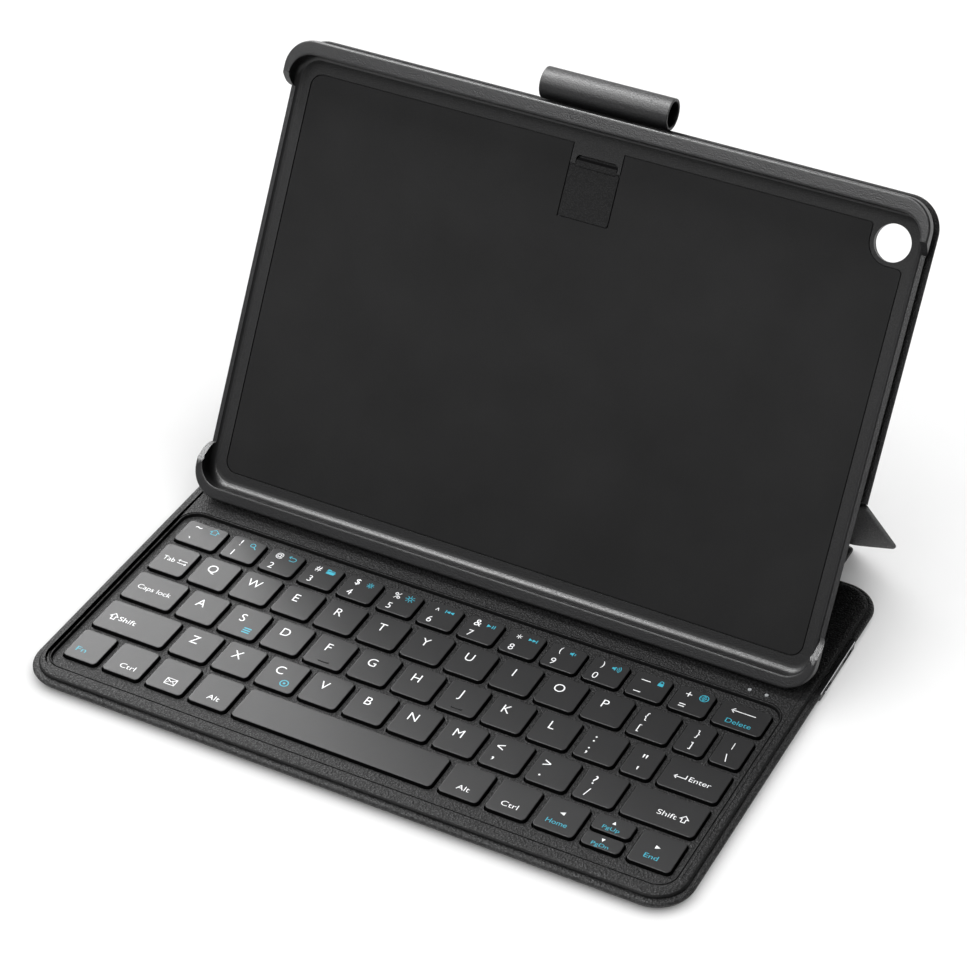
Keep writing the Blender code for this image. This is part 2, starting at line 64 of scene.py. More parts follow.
# Keyboard base
BASE_HALF_WIDTH = 127.7
BASE_FRONT = -14.3 + KEY_FRONT_Y
BASE_REAR = 166.5 + KEY_FRONT_Y
BASE_CORNER = 14.0
DECK_TOP = 5.9
WELL_LEFT = -121.6
WELL_RIGHT = 120.5
WELL_FRONT = -6.0 + KEY_FRONT_Y
WELL_REAR = 90.6 + KEY_FRONT_Y
WELL_CORNER = 6.5
PORT_Y = 130.0 + KEY_FRONT_Y
SWITCH_Y = 110.0 + KEY_FRONT_Y
BEZEL_FRONT = 105.0 + KEY_FRONT_Y
BEZEL_REAR = 137.0 + KEY_FRONT_Y

# Keys
KEY_TOP = 5.8
KEY_BOTTOM = 3.2
LETTER_WIDTH = 15.0
KEY_DEPTH = 15.5
KEY_GAP = 2.7
KEY_AREA = 236.0
ROW_PITCH = 18.3
TOP_ROW_DEPTH = 12.7

# Stand and tray
SHEET = 1.6
SPINE_LENGTH = 24.4
SPINE_HALF_WIDTH = 106.3
LEAF_ANGLE = math.radians(130.0)
LEAF_LENGTH = 79.75
PANEL_HALF_WIDTH = 126.0
TRAY_ANGLE = math.radians(60.0)
CREASE_V = 57.5
CREASE_H = -3.0
TRAY_HALF_WIDTH = 125.7
TRAY_BOTTOM_V = -10.4
TRAY_TOP_V = 164.7
TRAY_CORNER = 11.0
TRAY_BACK_H = -1.8
RIM_TOP_H = 8.5
RIM_ROUND = 7.0
POCKET_HALF_WIDTH = 123.5
POCKET_BOTTOM_V = -6.3
POCKET_TOP_V = 159.8
POCKET_CORNER = 9.0
COVE = 3.2
CUTOUT_H = 1.2
CUTOUT_BOTTOM_V = 9.4
CUTOUT_TOP_V = 146.3
PAD_HALF_WIDTH = 117.3
PAD_HEIGHT = 152.7
CAMERA_X = 111.8
CAMERA_V = 147.6
CAMERA_RADIUS = 6.65
CAMERA_RING = 8.4
TAB_LEFT = -10.1
TAB_RIGHT = 9.4
TAB_BOTTOM_V = 126.0
SLOT_BOTTOM_V = 145.6
SLOT_TOP_V = 149.0
LOOP_V = 170.9
LOOP_X = -1.4
LOOP_LENGTH = 50.0
LOOP_RADIUS = 5.8
LOOP_WALL = 1.1

CORNER_STEPS = 16               # segments in each rounded corner of the big outlines

# Covering material curved round the hinges
SKIN_HALF = 0.14                # half its thickness

# Camera and light
CAMERA_PLACE = (383.86, -634.97 + KEY_FRONT_Y, 696.63)
CAMERA_HEADING = (-0.36774708, 0.70027637, -0.61186199)
CAMERA_ROLL = -0.167            # degrees
CAMERA_LENS = 110.75            # on a sensor 36 mm wide
ROOM_LIGHT = 0.06               # strength of the room where the camera does not see it


def joint_place(name):
    """Hinge position from the record, in millimetres."""
    joints = frame["record"]["behaviour"]["joints"]
    place = next(j["pos_m"] for j in joints if j["name"] == name)
    return [c / MM for c in place]


SPINE_HINGE = joint_place("cover_fold_spine")
FOLD_HINGE = joint_place("cover_fold_stand")
CREASE = joint_place("cover_fold_tray")


# -------- materials

class Shade:
    """A Principled material with short ways to add the nodes it needs."""

    def __init__(self, name, colour, roughness, metallic=0.0, **sockets):
        self.material = bpy.data.materials.new(name)
        self.material.use_nodes = True
        self.tree = self.material.node_tree
        self.shader = self.tree.nodes["Principled BSDF"]
        self.shader.inputs["Base Color"].default_value = (*colour, 1.0)
        self.shader.inputs["Roughness"].default_value = roughness
        self.shader.inputs["Metallic"].default_value = metallic
        for socket, value in sockets.items():
            self.shader.inputs[socket.replace("_", " ")].default_value = value
        self.place = self.node("ShaderNodeTexCoord").outputs["Object"]

    def node(self, kind, **values):
        made = self.tree.nodes.new(kind)
        for key, value in values.items():
            setattr(made, key, value)
        return made

    def link(self, source, target):
        self.tree.links.new(source, target)

    def noise(self, size_mm, detail=3.0, stretch=(1.0, 1.0, 1.0)):
        """Noise whose features are about size_mm across."""
        mapping = self.node("ShaderNodeMapping")
        mapping.inputs["Scale"].default_value = stretch
        self.link(self.place, mapping.inputs["Vector"])
        noise = self.node("ShaderNodeTexNoise")
        noise.inputs["Scale"].default_value = 1.0 / (size_mm * MM)
        noise.inputs["Detail"].default_value = detail
        self.link(mapping.outputs[0], noise.inputs["Vector"])
        return noise.outputs["Fac"]

    def pebbles(self, size_mm, smooth=0.35):
        """Rounded cells, low at their centres and high along their borders."""
        cells = self.node("ShaderNodeTexVoronoi", feature="SMOOTH_F1")
        cells.inputs["Scale"].default_value = 1.0 / (size_mm * MM)
        cells.inputs["Smoothness"].default_value = smooth
        wobble = self.node("ShaderNodeVectorMath", operation="MULTIPLY_ADD")
        noise = self.node("ShaderNodeTexNoise")
        noise.inputs["Scale"].default_value = 0.8 / (size_mm * MM)
        wobble.inputs[1].default_value = (size_mm * MM * 0.7,) * 3
        self.link(self.place, noise.inputs["Vector"])
        self.link(noise.outputs["Color"], wobble.inputs[0])
        self.link(self.place, wobble.inputs[2])
        self.link(wobble.outputs[0], cells.inputs["Vector"])
        return cells.outputs["Distance"]

    def ramp(self, source, low, high, start=0.3, end=0.7):
        """Colour or grey from low to high as source goes from start to end."""
        ramp = self.node("ShaderNodeValToRGB")
        first, last = ramp.color_ramp.elements
        first.position = start
        last.position = end
        first.color = (*low, 1.0) if isinstance(low, tuple) else (low, low, low, 1.0)
        last.color = (*high, 1.0) if isinstance(high, tuple) else (high, high, high, 1.0)
        self.link(source, ramp.inputs["Fac"])
        return ramp.outputs["Color"]

    def weighted(self, source, weight, other):
        """source times weight, plus other."""
        total = self.node("ShaderNodeMath", operation="MULTIPLY_ADD")
        total.inputs[1].default_value = weight
        self.link(source, total.inputs[0])
        self.link(other, total.inputs[2])
        return total.outputs[0]

    def colour(self, source):
        self.link(source, self.shader.inputs["Base Color"])

    def roughness(self, source):
        self.link(source, self.shader.inputs["Roughness"])

    def bump(self, *layers):
        """Stack of (height source, depth in mm, sign)."""
        normal = None
        for source, depth_mm, invert in layers:
            bump = self.node("ShaderNodeBump", invert=invert)
            bump.inputs["Strength"].default_value = 1.0
            bump.inputs["Distance"].default_value = depth_mm * MM
            self.link(source, bump.inputs["Height"])
            if normal:
                self.link(normal, bump.inputs["Normal"])
            normal = bump.outputs["Normal"]
        self.link(normal, self.shader.inputs["Normal"])


def leather(name, dark, light, grain_mm, depth_mm, rough=(0.5, 0.68), gloss=0.45):
    """Pebble-grained leather: raised cells with painted shade darkening the creases between them, fine
    pores, slow wear in the colour.
    """
    shade = Shade(name, dark, rough[1], Specular_IOR_Level=gloss)
    cells = shade.pebbles(grain_mm)
    pores = shade.noise(grain_mm * 0.5, 2.0)
    wear = shade.noise(38.0, 4.0)
    grain_and_crease_shade = shade.weighted(cells, 0.7, pores)
    mixed = shade.weighted(wear, 0.15, grain_and_crease_shade)
    # The colour runs dark along the cell borders: painted shade in the creases, over the grain's own
    # tone.
    shade.colour(shade.ramp(mixed, light, dark, 0.62, 1.02))
    shade.roughness(shade.ramp(grain_and_crease_shade, rough[0], rough[1], 0.55, 0.9))
    shade.bump((cells, depth_mm, True), (pores, depth_mm * 0.5, False))
    return shade.material


def moulded(name, dark, light, rough, grain_mm=0.25, depth_mm=0.012, **sockets):
    """Moulded plastic with a fine spark-eroded grain and slight colour drift."""
    shade = Shade(name, dark, rough, **sockets)
    grain = shade.noise(grain_mm, 2.0)
    drift = shade.noise(22.0, 4.0)
    shade.colour(shade.ramp(drift, dark, light, 0.3, 0.75))
    shade.roughness(shade.ramp(grain, rough - 0.05, rough + 0.07, 0.3, 0.7))
    shade.bump((grain, depth_mm, False))
    return shade.material


def microfibre(name, dark, light):
    """Brushed pad: short fibres lying mostly one way, with a soft sheen."""
    shade = Shade(name, dark, 0.9, Specular_IOR_Level=0.2, Sheen_Weight=0.02, Sheen_Roughness=0.5)
    fibres = shade.noise(0.28, 3.0, (1.0, 0.35, 0.35))
    clouds = shade.noise(30.0, 4.0)
    mixed = shade.weighted(fibres, 0.4, clouds)
    shade.colour(shade.ramp(mixed, dark, light, 0.4, 1.0))
    shade.roughness(shade.ramp(fibres, 0.82, 0.96))
    shade.bump((fibres, 0.03, False))
    return shade.material


def metal(name, colour, rough):
    """Brushed metal with fine lines along X."""
    shade = Shade(name, colour, rough, 1.0)
    lines = shade.noise(0.12, 2.0, (0.05, 1.0, 1.0))
    darker = tuple(c * 0.82 for c in colour)
    shade.colour(shade.ramp(lines, darker, colour))
    shade.roughness(shade.ramp(lines, rough - 0.06, rough + 0.1))
    shade.bump((lines, 0.004, False))
    return shade.material


def grey(level, blue):
    """Grey with its own, slightly cooler, blue."""
    return (level, level, blue)


def printed(name, colour):
    """Ink on a key: a little uneven at its scale."""
    pale = tuple(min(1.0, c * 1.04 + 0.01) for c in colour)
    return moulded(name, colour, pale, 0.5, 0.12, 0.004)


LEATHER = leather("leather", grey(0.003, 0.0033), grey(0.017, 0.018), 0.62, 0.24, (0.38, 0.62))
# Darker copy of the leather for sides and runs that sit in shade: painted shade.
LEATHER_PAINTED_SHADE = leather("leather_painted_shade", grey(0.0015, 0.0017), grey(0.006, 0.0065),
                       0.6, 0.10, (0.55, 0.7), 0.25)
LEATHER_EDGE = leather("leather_edge", grey(0.002, 0.0022), grey(0.028, 0.029), 0.75, 0.28, (0.38, 0.58))
DECK_LEATHER = leather("deck_leather", grey(0.001, 0.0012), grey(0.028, 0.029), 0.74, 0.26, (0.42, 0.64))
LOOP_LEATHER = leather("loop_leather", grey(0.003, 0.0033), grey(0.018, 0.019),
                       0.45, 0.06, (0.34, 0.48), 0.5)
STRAP_LEATHER = leather("strap_leather", grey(0.006, 0.0063), grey(0.013, 0.0135),
                        0.55, 0.10, (0.6, 0.75), 0.2)
KEY_PLASTIC = moulded("keycap", grey(0.013, 0.0135), grey(0.016, 0.0167), 0.40)
# Near-black copy of the key plastic for the caps' sides: painted shade.
KEY_SIDE_PAINTED_SHADE = moulded("keycap_side_painted_shade", grey(0.0008, 0.0009), grey(0.0015, 0.0016),
                   0.6, Specular_IOR_Level=0.15)
PLATE = moulded("key_plate_plastic", grey(0.001, 0.0011), grey(0.002, 0.0021),
                0.8, Specular_IOR_Level=0.1)
FRAME_SKIN = leather("frame_skin", grey(0.009, 0.0095), grey(0.026, 0.027), 0.42, 0.05, (0.24, 0.36))
# Near-black glossy copy of the frame leather for the tray's walls and coves: painted shade.
WALL_SKIN_PAINTED_SHADE = leather("frame_wall_painted_shade", grey(0.0015, 0.0017), grey(0.005, 0.0055),
                    0.42, 0.025, (0.34, 0.44), 0.5)
FLOOR_SKIN = leather("frame_floor", grey(0.007, 0.0073), grey(0.014, 0.0145),
                     0.42, 0.05, (0.5, 0.62), 0.25)
PAD = microfibre("pad_microfibre", grey(0.0115, 0.0117), grey(0.0165, 0.0168))
INNER = moulded("inner_plastic", grey(0.012, 0.013), grey(0.018, 0.019), 0.45)
CIRCUIT = moulded("circuit", (0.008, 0.100, 0.040), (0.012, 0.130, 0.055), 0.4, 1.2, 0.02)
FOIL = metal("battery_foil", grey(0.30, 0.32), 0.4)
PLATED = metal("magnet", grey(0.50, 0.52), 0.3)
STEEL = metal("bare_metal", grey(0.72, 0.74), 0.24)
WHITE_INK = printed("white_ink", (0.86, 0.87, 0.88))
BLUE_INK = printed("blue_ink", (0.03, 0.38, 0.50))
LAMP = moulded("lamp", (0.30, 0.31, 0.32), (0.42, 0.43, 0.44), 0.35, 0.2, 0.004)


# -------- mesh helpers

def arc(cx, cy, radius, start, end, steps):
    points = []
    for k in range(steps + 1):
        turn = math.radians(start + (end - start) * k / steps)
        points.append((cx + radius * math.cos(turn), cy + radius * math.sin(turn)))
    return points


def rectangle(x0, x1, y0, y1, radius, steps):
    """Anticlockwise rounded rectangle."""
    corners = ((x1, y0, -90.0), (x1, y1, 0.0), (x0, y1, 90.0), (x0, y0, 180.0))
    points = []
    for x, y, start in corners:
        cx = x - math.copysign(radius, x - (x0 + x1) / 2)
        cy = y - math.copysign(radius, y - (y0 + y1) / 2)
        points.extend(arc(cx, cy, radius, start, start + 90.0, steps))
    return points


def shrunk(x0, x1, y0, y1, radius, inset, steps=CORNER_STEPS):
    """Rounded rectangle drawn in by inset on every side."""
    return rectangle(x0 + inset, x1 - inset, y0 + inset, y1 - inset, radius - inset, steps)


def level(outline, z):
    return [(x, y, z) for x, y in outline]


def loft_mesh(rings, closed=False):
    count = len(rings[0])
    verts = [point for ring in rings for point in ring]
    faces = []
    joins = len(rings) if closed else len(rings) - 1
    for k in range(joins):
        a = k * count
        b = ((k + 1) % len(rings)) * count
        for i in range(count):
            j = (i + 1) % count
            faces.append((a + i, a + j, b + j, b + i))
    if not closed:
        faces.append(tuple(range(count)))
        faces.append(tuple(range((len(rings) - 1) * count, len(rings) * count)))
    return verts, faces


def merged(parts):
    verts = []
    faces = []
    for part_verts, part_faces in parts:
        first = len(verts)
        verts.extend(part_verts)
        faces.extend(tuple(first + i for i in face) for face in part_faces)
    return verts, faces


def piece(name, verts, faces, material, outward=True):
    """A mesh piece from points in millimetres."""
    mesh = bpy.data.meshes.new(name)
    mesh.from_pydata([[c * MM for c in p] for p in verts], [], faces)
    if outward:
        work = bmesh.new()
        work.from_mesh(mesh)
        bmesh.ops.recalc_face_normals(work, faces=work.faces)
        work.to_mesh(mesh)
        work.free()
    mesh.materials.append(material)
    obj = bpy.data.objects.new(name, mesh)
    bpy.context.scene.collection.objects.link(obj)
    return obj


def smooth(obj, angle=32.0):
    obj.data.shade_smooth()
    obj.data.set_sharp_from_angle(angle=math.radians(angle))
    weighted = obj.modifiers.new("weighted_normals", "WEIGHTED_NORMAL")
    weighted.keep_sharp = True


def carve(obj, parts, operation="DIFFERENCE"):
    """Cuts closed lofts out of a piece, or adds them, and keeps the result as plain mesh."""
    for index, part in enumerate(parts):
        tool = piece(f"{obj.name}_tool_{index}", *part, INNER)
        step = obj.modifiers.new("carve", "BOOLEAN")
        step.operation = operation
        step.solver = "EXACT"
        step.object = tool
        graph = bpy.context.evaluated_depsgraph_get()
        result = bpy.data.meshes.new_from_object(obj.evaluated_get(graph))
        obj.modifiers.clear()
        obj.data = result
        bpy.data.objects.remove(tool)


def place(obj, body, slot_name, *nodes):
    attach(obj, body)
    if nodes:
        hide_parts(*nodes)
    return obj


def box_mesh(x0, x1, y0, y1, z0, z1):
    outline = [(x0, y0), (x1, y0), (x1, y1), (x0, y1)]
    return loft_mesh([level(outline, z0), level(outline, z1)])


def curve_through(points, steps):
    """Catmull-Rom curve through 2-D points."""
    padded = [points[0], *points, points[-1]]
    path = []
    for k in range(1, len(padded) - 2):
        p0, p1, p2, p3 = (Vector(p) for p in padded[k - 1:k + 3])
        for i in range(steps):
            t = i / steps
            spot = 0.5 * (2 * p1 + (p2 - p0) * t + (2 * p0 - 5 * p1 + 4 * p2 - p3) * t * t
                          + (3 * p1 - p0 - 3 * p2 + p3) * t ** 3)
            path.append(tuple(spot))
    path.append(points[-1])
    return path


# -------- keyboard base

def base_outline(inset):
    return shrunk(-BASE_HALF_WIDTH, BASE_HALF_WIDTH, BASE_FRONT, BASE_REAR, BASE_CORNER, inset)


def well_outline(outset):
    return shrunk(WELL_LEFT, WELL_RIGHT, WELL_FRONT, WELL_REAR, WELL_CORNER, -outset)


def build_base():
    outside = curve_through(
        [(6.2, 0.0), (3.1, 0.45), (1.1, 1.6), (0.15, 3.0), (0.0, 3.6), (0.35, 4.2), (1.2, 4.5)], 4)
    rings = [level(base_outline(inset), z) for inset, z in outside]
    rings.append(level(base_outline(3.3), 4.5))
    rings.append(level(base_outline(3.8), 0.7))
    cover = piece("base_bottom_wrap", *loft_mesh(rings), LEATHER_EDGE)
    carve(cover, [
        box_mesh(125.9, 130.0, BEZEL_FRONT - 0.3, BEZEL_REAR + 0.3, 0.9, 5.0),
        box_mesh(122.0, 127.0, PORT_Y - 4.2, PORT_Y + 4.2, 1.5, 4.0),
        box_mesh(122.0, 127.0, SWITCH_Y - 2.6, SWITCH_Y + 5.0, 1.8, 3.9),
    ])
    smooth(cover)
    place(cover, "base", "leather", "base_bottom_cover")

    edge = curve_through(
        [(2.3, 4.8), (2.36, 5.1), (2.62, 5.42), (3.1, 5.68), (3.75, 5.83), (4.6, DECK_TOP)], 3)
    rings = [level(base_outline(inset), z) for inset, z in edge + [(5.2, DECK_TOP)]]
    # A pressed groove runs round the key well, just outside its rounded edge.
    for outset, z in ((2.2, DECK_TOP), (1.0, DECK_TOP), (0.92, DECK_TOP - 0.06), (0.88, DECK_TOP - 0.42),
                      (0.56, DECK_TOP - 0.42), (0.52, DECK_TOP - 0.06), (0.42, DECK_TOP),
                      (0.2, DECK_TOP - 0.06), (0.06, DECK_TOP - 0.22), (0.0, DECK_TOP - 0.5),
                      (0.0, 4.0), (0.9, 4.0), (0.9, 4.9)):
        rings.append(level(well_outline(outset), z))
    rings.append(level(base_outline(3.5), 4.9))
    rings.append(level(base_outline(3.5), 4.8))
    deck = piece("deck_wrap", *loft_mesh(rings, closed=True), DECK_LEATHER)
    holes = []
    for lamp in ("power_lamp", "link_lamp"):
        low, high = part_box(lamp)
        centre = [(a + b) / 2 / MM for a, b in zip(low, high)]
        outline = arc(centre[0], centre[1], 1.0, 0.0, 345.0, 23)
        holes.append(loft_mesh([level(outline, 4.0), level(outline, 7.0)]))
    carve(deck, holes)
    # The deck's sloping sides and the key well's walls take the darker leather: painted shade.
    deck.data.materials.append(LEATHER_PAINTED_SHADE)
    for face in deck.data.polygons:
        if face.normal.z < 0.75 or face.center.z < (DECK_TOP - 0.3) * MM:
            face.material_index = 1
    smooth(deck)
    place(deck, "base", "deck_leather", "keyboard_deck")


PLATE_TOP = 4.55


def build_plate(keys):
    """Grained sheet between the keys, with a window for each."""
    clear = 0.6
    outline = well_outline(-0.25)
    rings = [level(outline, 4.1), level(outline, PLATE_TOP)]
    plate = piece("well_floor", *loft_mesh(rings), DECK_LEATHER)
    windows = []
    for x0, x1, y0, y1 in keys.values():
        plan = rectangle(x0 - clear, x1 + clear, y0 - clear, y1 + clear, 2.2, 4)
        windows.append(loft_mesh([level(plan, 3.5), level(plan, 5.5)]))
    carve(plate, [merged(windows)])
    place(plate, "base", "deck_leather")


def build_side_details():
    """Bright line along the bezel's upper edge; the other controls are CAD pieces, repainted."""
    outline = [(126.3, 4.42), (127.55, 4.42), (127.72, 4.2), (127.72, 4.0), (127.5, 4.0),
               (127.5, 4.15), (126.3, 4.2)]
    rings = [[(x, y, z) for x, z in outline] for y in (BEZEL_FRONT + 0.2, BEZEL_REAR - 0.2)]
    trim = piece("bezel_trim", *loft_mesh(rings), STEEL)
    place(trim, "base", "bare_metal")


# -------- keys

def key_layout():
    """Every key as name: (x0, x1, y0, y1), row by row from the front."""
    def row(names, y0, depth):
        fixed = sum(width for _, width in names if width)
        spare = KEY_AREA - fixed - KEY_GAP * (len(names) - 1)
        x = -KEY_AREA / 2
        placed = {}
        for name, width in names:
            width = width or spare
            placed[name] = (x, x + width, y0 + KEY_FRONT_Y, y0 + KEY_FRONT_Y + depth)
            x += width + KEY_GAP
        return placed

    keys = {}
    keys.update(row(
        [("fn", 13.6), ("ctrl_left", LETTER_WIDTH), ("mail", LETTER_WIDTH), ("alt_left", LETTER_WIDTH),
         ("space", None), ("alt_right", LETTER_WIDTH), ("ctrl_right", LETTER_WIDTH),
         ("home", LETTER_WIDTH), ("page", 14.1), ("end", 15.7)], 0.0, KEY_DEPTH))
    keys.update(row(
        [("shift_left", 29.3)] + [(c, LETTER_WIDTH) for c in "zxcvbnm"]
        + [(c, LETTER_WIDTH) for c in ("comma", "period", "slash")] + [("shift_right", None)],
        ROW_PITCH, KEY_DEPTH))
    keys.update(row(
        [("caps_lock", 20.6)] + [(c, LETTER_WIDTH) for c in "asdfghjkl"]
        + [("semicolon", LETTER_WIDTH), ("quote", 10.9), ("enter", None)], 2 * ROW_PITCH, KEY_DEPTH))
    keys.update(row(
        [("tab", None)] + [(c, LETTER_WIDTH) for c in "qwertyuiop"]
        + [("bracket_left", LETTER_WIDTH), ("bracket_right", 10.7), ("backslash", 11.0)],
        3 * ROW_PITCH, KEY_DEPTH))
    keys.update(row(
        [("grave", 16.9)] + [(f"number_{c}", 13.8) for c in "1234567890"]
        + [("minus", 13.8), ("equal", 13.8), ("delete", None)], 4 * ROW_PITCH, TOP_ROW_DEPTH))
    x0, x1, y0, y1 = keys.pop("page")
    keys["page_down"] = (x0, x1, y0, y0 + 6.3)
    keys["page_up"] = (x0, x1, y0 + 7.9, y1)
    return keys


KEY_GROUPS = {
    "keys_numbers": ["grave"] + [f"number_{c}" for c in "1234567890"] + ["minus", "equal"],
    "keys_brackets": ["bracket_left", "bracket_right", "backslash"],
    "keys_quotes": ["semicolon", "quote"],
    "keys_punctuation": ["comma", "period", "slash"],
    "keys_bottom_left": ["fn", "ctrl_left", "mail", "alt_left"],
    "keys_bottom_right": ["alt_right", "ctrl_right", "home", "page_down", "page_up", "end"],
}

PRINT_Z = KEY_TOP + 0.012
CAPITAL_HEIGHT = 0.729          # of the built-in typeface at size 1
STROKE_TRIM = -0.004            # thins its strokes


def cap_mesh(limits):
    """Key cap with upright sides, a tight round top edge and a flat face."""
    x0, x1, y0, y1 = limits
    corner = 1.6
    edge = 0.26
    rings = [level(rectangle(x0 + 0.12, x1 - 0.12, y0 + 0.12, y1 - 0.12, corner, 7), KEY_BOTTOM)]
    for turn in (0.0, 30.0, 60.0, 90.0):
        inset = edge * (1.0 - math.cos(math.radians(turn)))
        z = KEY_TOP - edge * (1.0 - math.sin(math.radians(turn)))
        rings.append(level(shrunk(x0, x1, y0, y1, corner, inset, 7), z))
    rings.append(level(shrunk(x0, x1, y0, y1, corner, edge + 0.12, 7), KEY_TOP))
    return loft_mesh(rings)


def finger_bar(limits):
    """Raised bar that marks the two index-finger keys."""
    x0, _, y0, _ = limits
    low = rectangle(x0 + 5.4, x0 + 9.8, y0 + 1.9, y0 + 2.7, 0.35, 3)
    high = rectangle(x0 + 5.55, x0 + 9.65, y0 + 2.05, y0 + 2.55, 0.2, 3)
    return loft_mesh([level(low, KEY_TOP - 0.1), level(low, KEY_TOP + 0.12), level(high, KEY_TOP + 0.3)])


class Print:
    """Flat legend shapes on a key's face, in millimetres from the key's left front corner."""

    def __init__(self, limits):
        self.x0, _, self.y0, _ = limits
        self.shapes = {"white": [], "blue": []}

    def at(self, x, y):
        """The same print, measured from (x, y)."""
        moved = copy.copy(self)
        moved.x0 += x
        moved.y0 += y
        return moved

    def add(self, verts, faces, ink):
        lifted = [(x + self.x0, y + self.y0, PRINT_Z) for x, y in verts]
        self.shapes[ink].append((lifted, faces))

    def text(self, words, x, y, height, ink="white", width=None, own_height=False):
        """Words centred on (x, y), with capitals height tall; width sets how wide they run.

        With own_height, the drawn shape itself is height tall, as suits one symbol.
        """
        data = bpy.data.curves.new("words", "FONT")
        data.body = words
        data.offset = 0.0 if own_height else STROKE_TRIM
        obj = bpy.data.objects.new("words", data)
        bpy.context.scene.collection.objects.link(obj)
        bpy.context.view_layer.update()
        mesh = obj.evaluated_get(bpy.context.evaluated_depsgraph_get()).to_mesh()
        points = [(v.co.x, v.co.y) for v in mesh.vertices]
        faces = [tuple(f.vertices) for f in mesh.polygons]
        bpy.data.objects.remove(obj)
        xs = [p[0] for p in points]
        ys = [p[1] for p in points]
        tall = max(ys) - min(ys) if own_height else CAPITAL_HEIGHT
        rise = (max(ys) + min(ys)) / 2 if own_height else CAPITAL_HEIGHT / 2
        scale = height / tall
        squeeze = width / ((max(xs) - min(xs)) * scale) if width else 0.93
        middle = (max(xs) + min(xs)) / 2
        moved = [((px - middle) * scale * squeeze + x, (py - rise) * scale + y) for px, py in points]
        self.add(moved, faces, ink)

    def polygon(self, points, ink="white"):
        self.add(points, [tuple(range(len(points)))], ink)

    def line(self, points, width, ink="white", closed=False):
        """Stroke of even width with mitred corners."""
        spots = [Vector(p) for p in points]
        count = len(spots)
        left = []
        right = []
        for i, spot in enumerate(spots):
            before = spots[i - 1] if (i or closed) else None
            after = spots[(i + 1) % count] if (i < count - 1 or closed) else None
            legs = []
            if before is not None:
                legs.append((spot - before).normalized())
            if after is not None:
                legs.append((after - spot).normalized())
            way = sum(legs, Vector((0.0, 0.0))).normalized()
            side = Vector((-way.y, way.x))
            lean = max(0.4, abs(way.dot(legs[0])))
            reach = side * (width / 2 / lean)
            left.append(tuple(spot + reach))
            right.append(tuple(spot - reach))
        faces = []
        for i in range(count if closed else count - 1):
            j = (i + 1) % count
            faces.append((i, j, count + j, count + i))
        self.add(left + right, faces, ink)

    def disc(self, x, y, radius, ink="white"):
        self.polygon(arc(x, y, radius, 0.0, 340.0, 17), ink)

    def ring(self, x, y, radius, width, ink="white"):
        self.line(arc(x, y, radius, 0.0, 340.0, 17), width, ink, closed=True)

    def arrow(self, x0, x1, y, head, width, ink="white"):
        """Line from x0 to x1 with an open head at x1."""
        back = math.copysign(head, x0 - x1)
        self.line([(x0, y), (x1, y)], width, ink)
        self.line([(x1 + back, y + head), (x1, y), (x1 + back, y - head)], width, ink)

    def triangle(self, x, y, size, heading, ink="white"):
        points = []
        for turn in (0.0, 130.0, 230.0):
            way = math.radians(heading + turn)
            points.append((x + size * math.cos(way), y + size * math.sin(way)))
        self.polygon(points, ink)


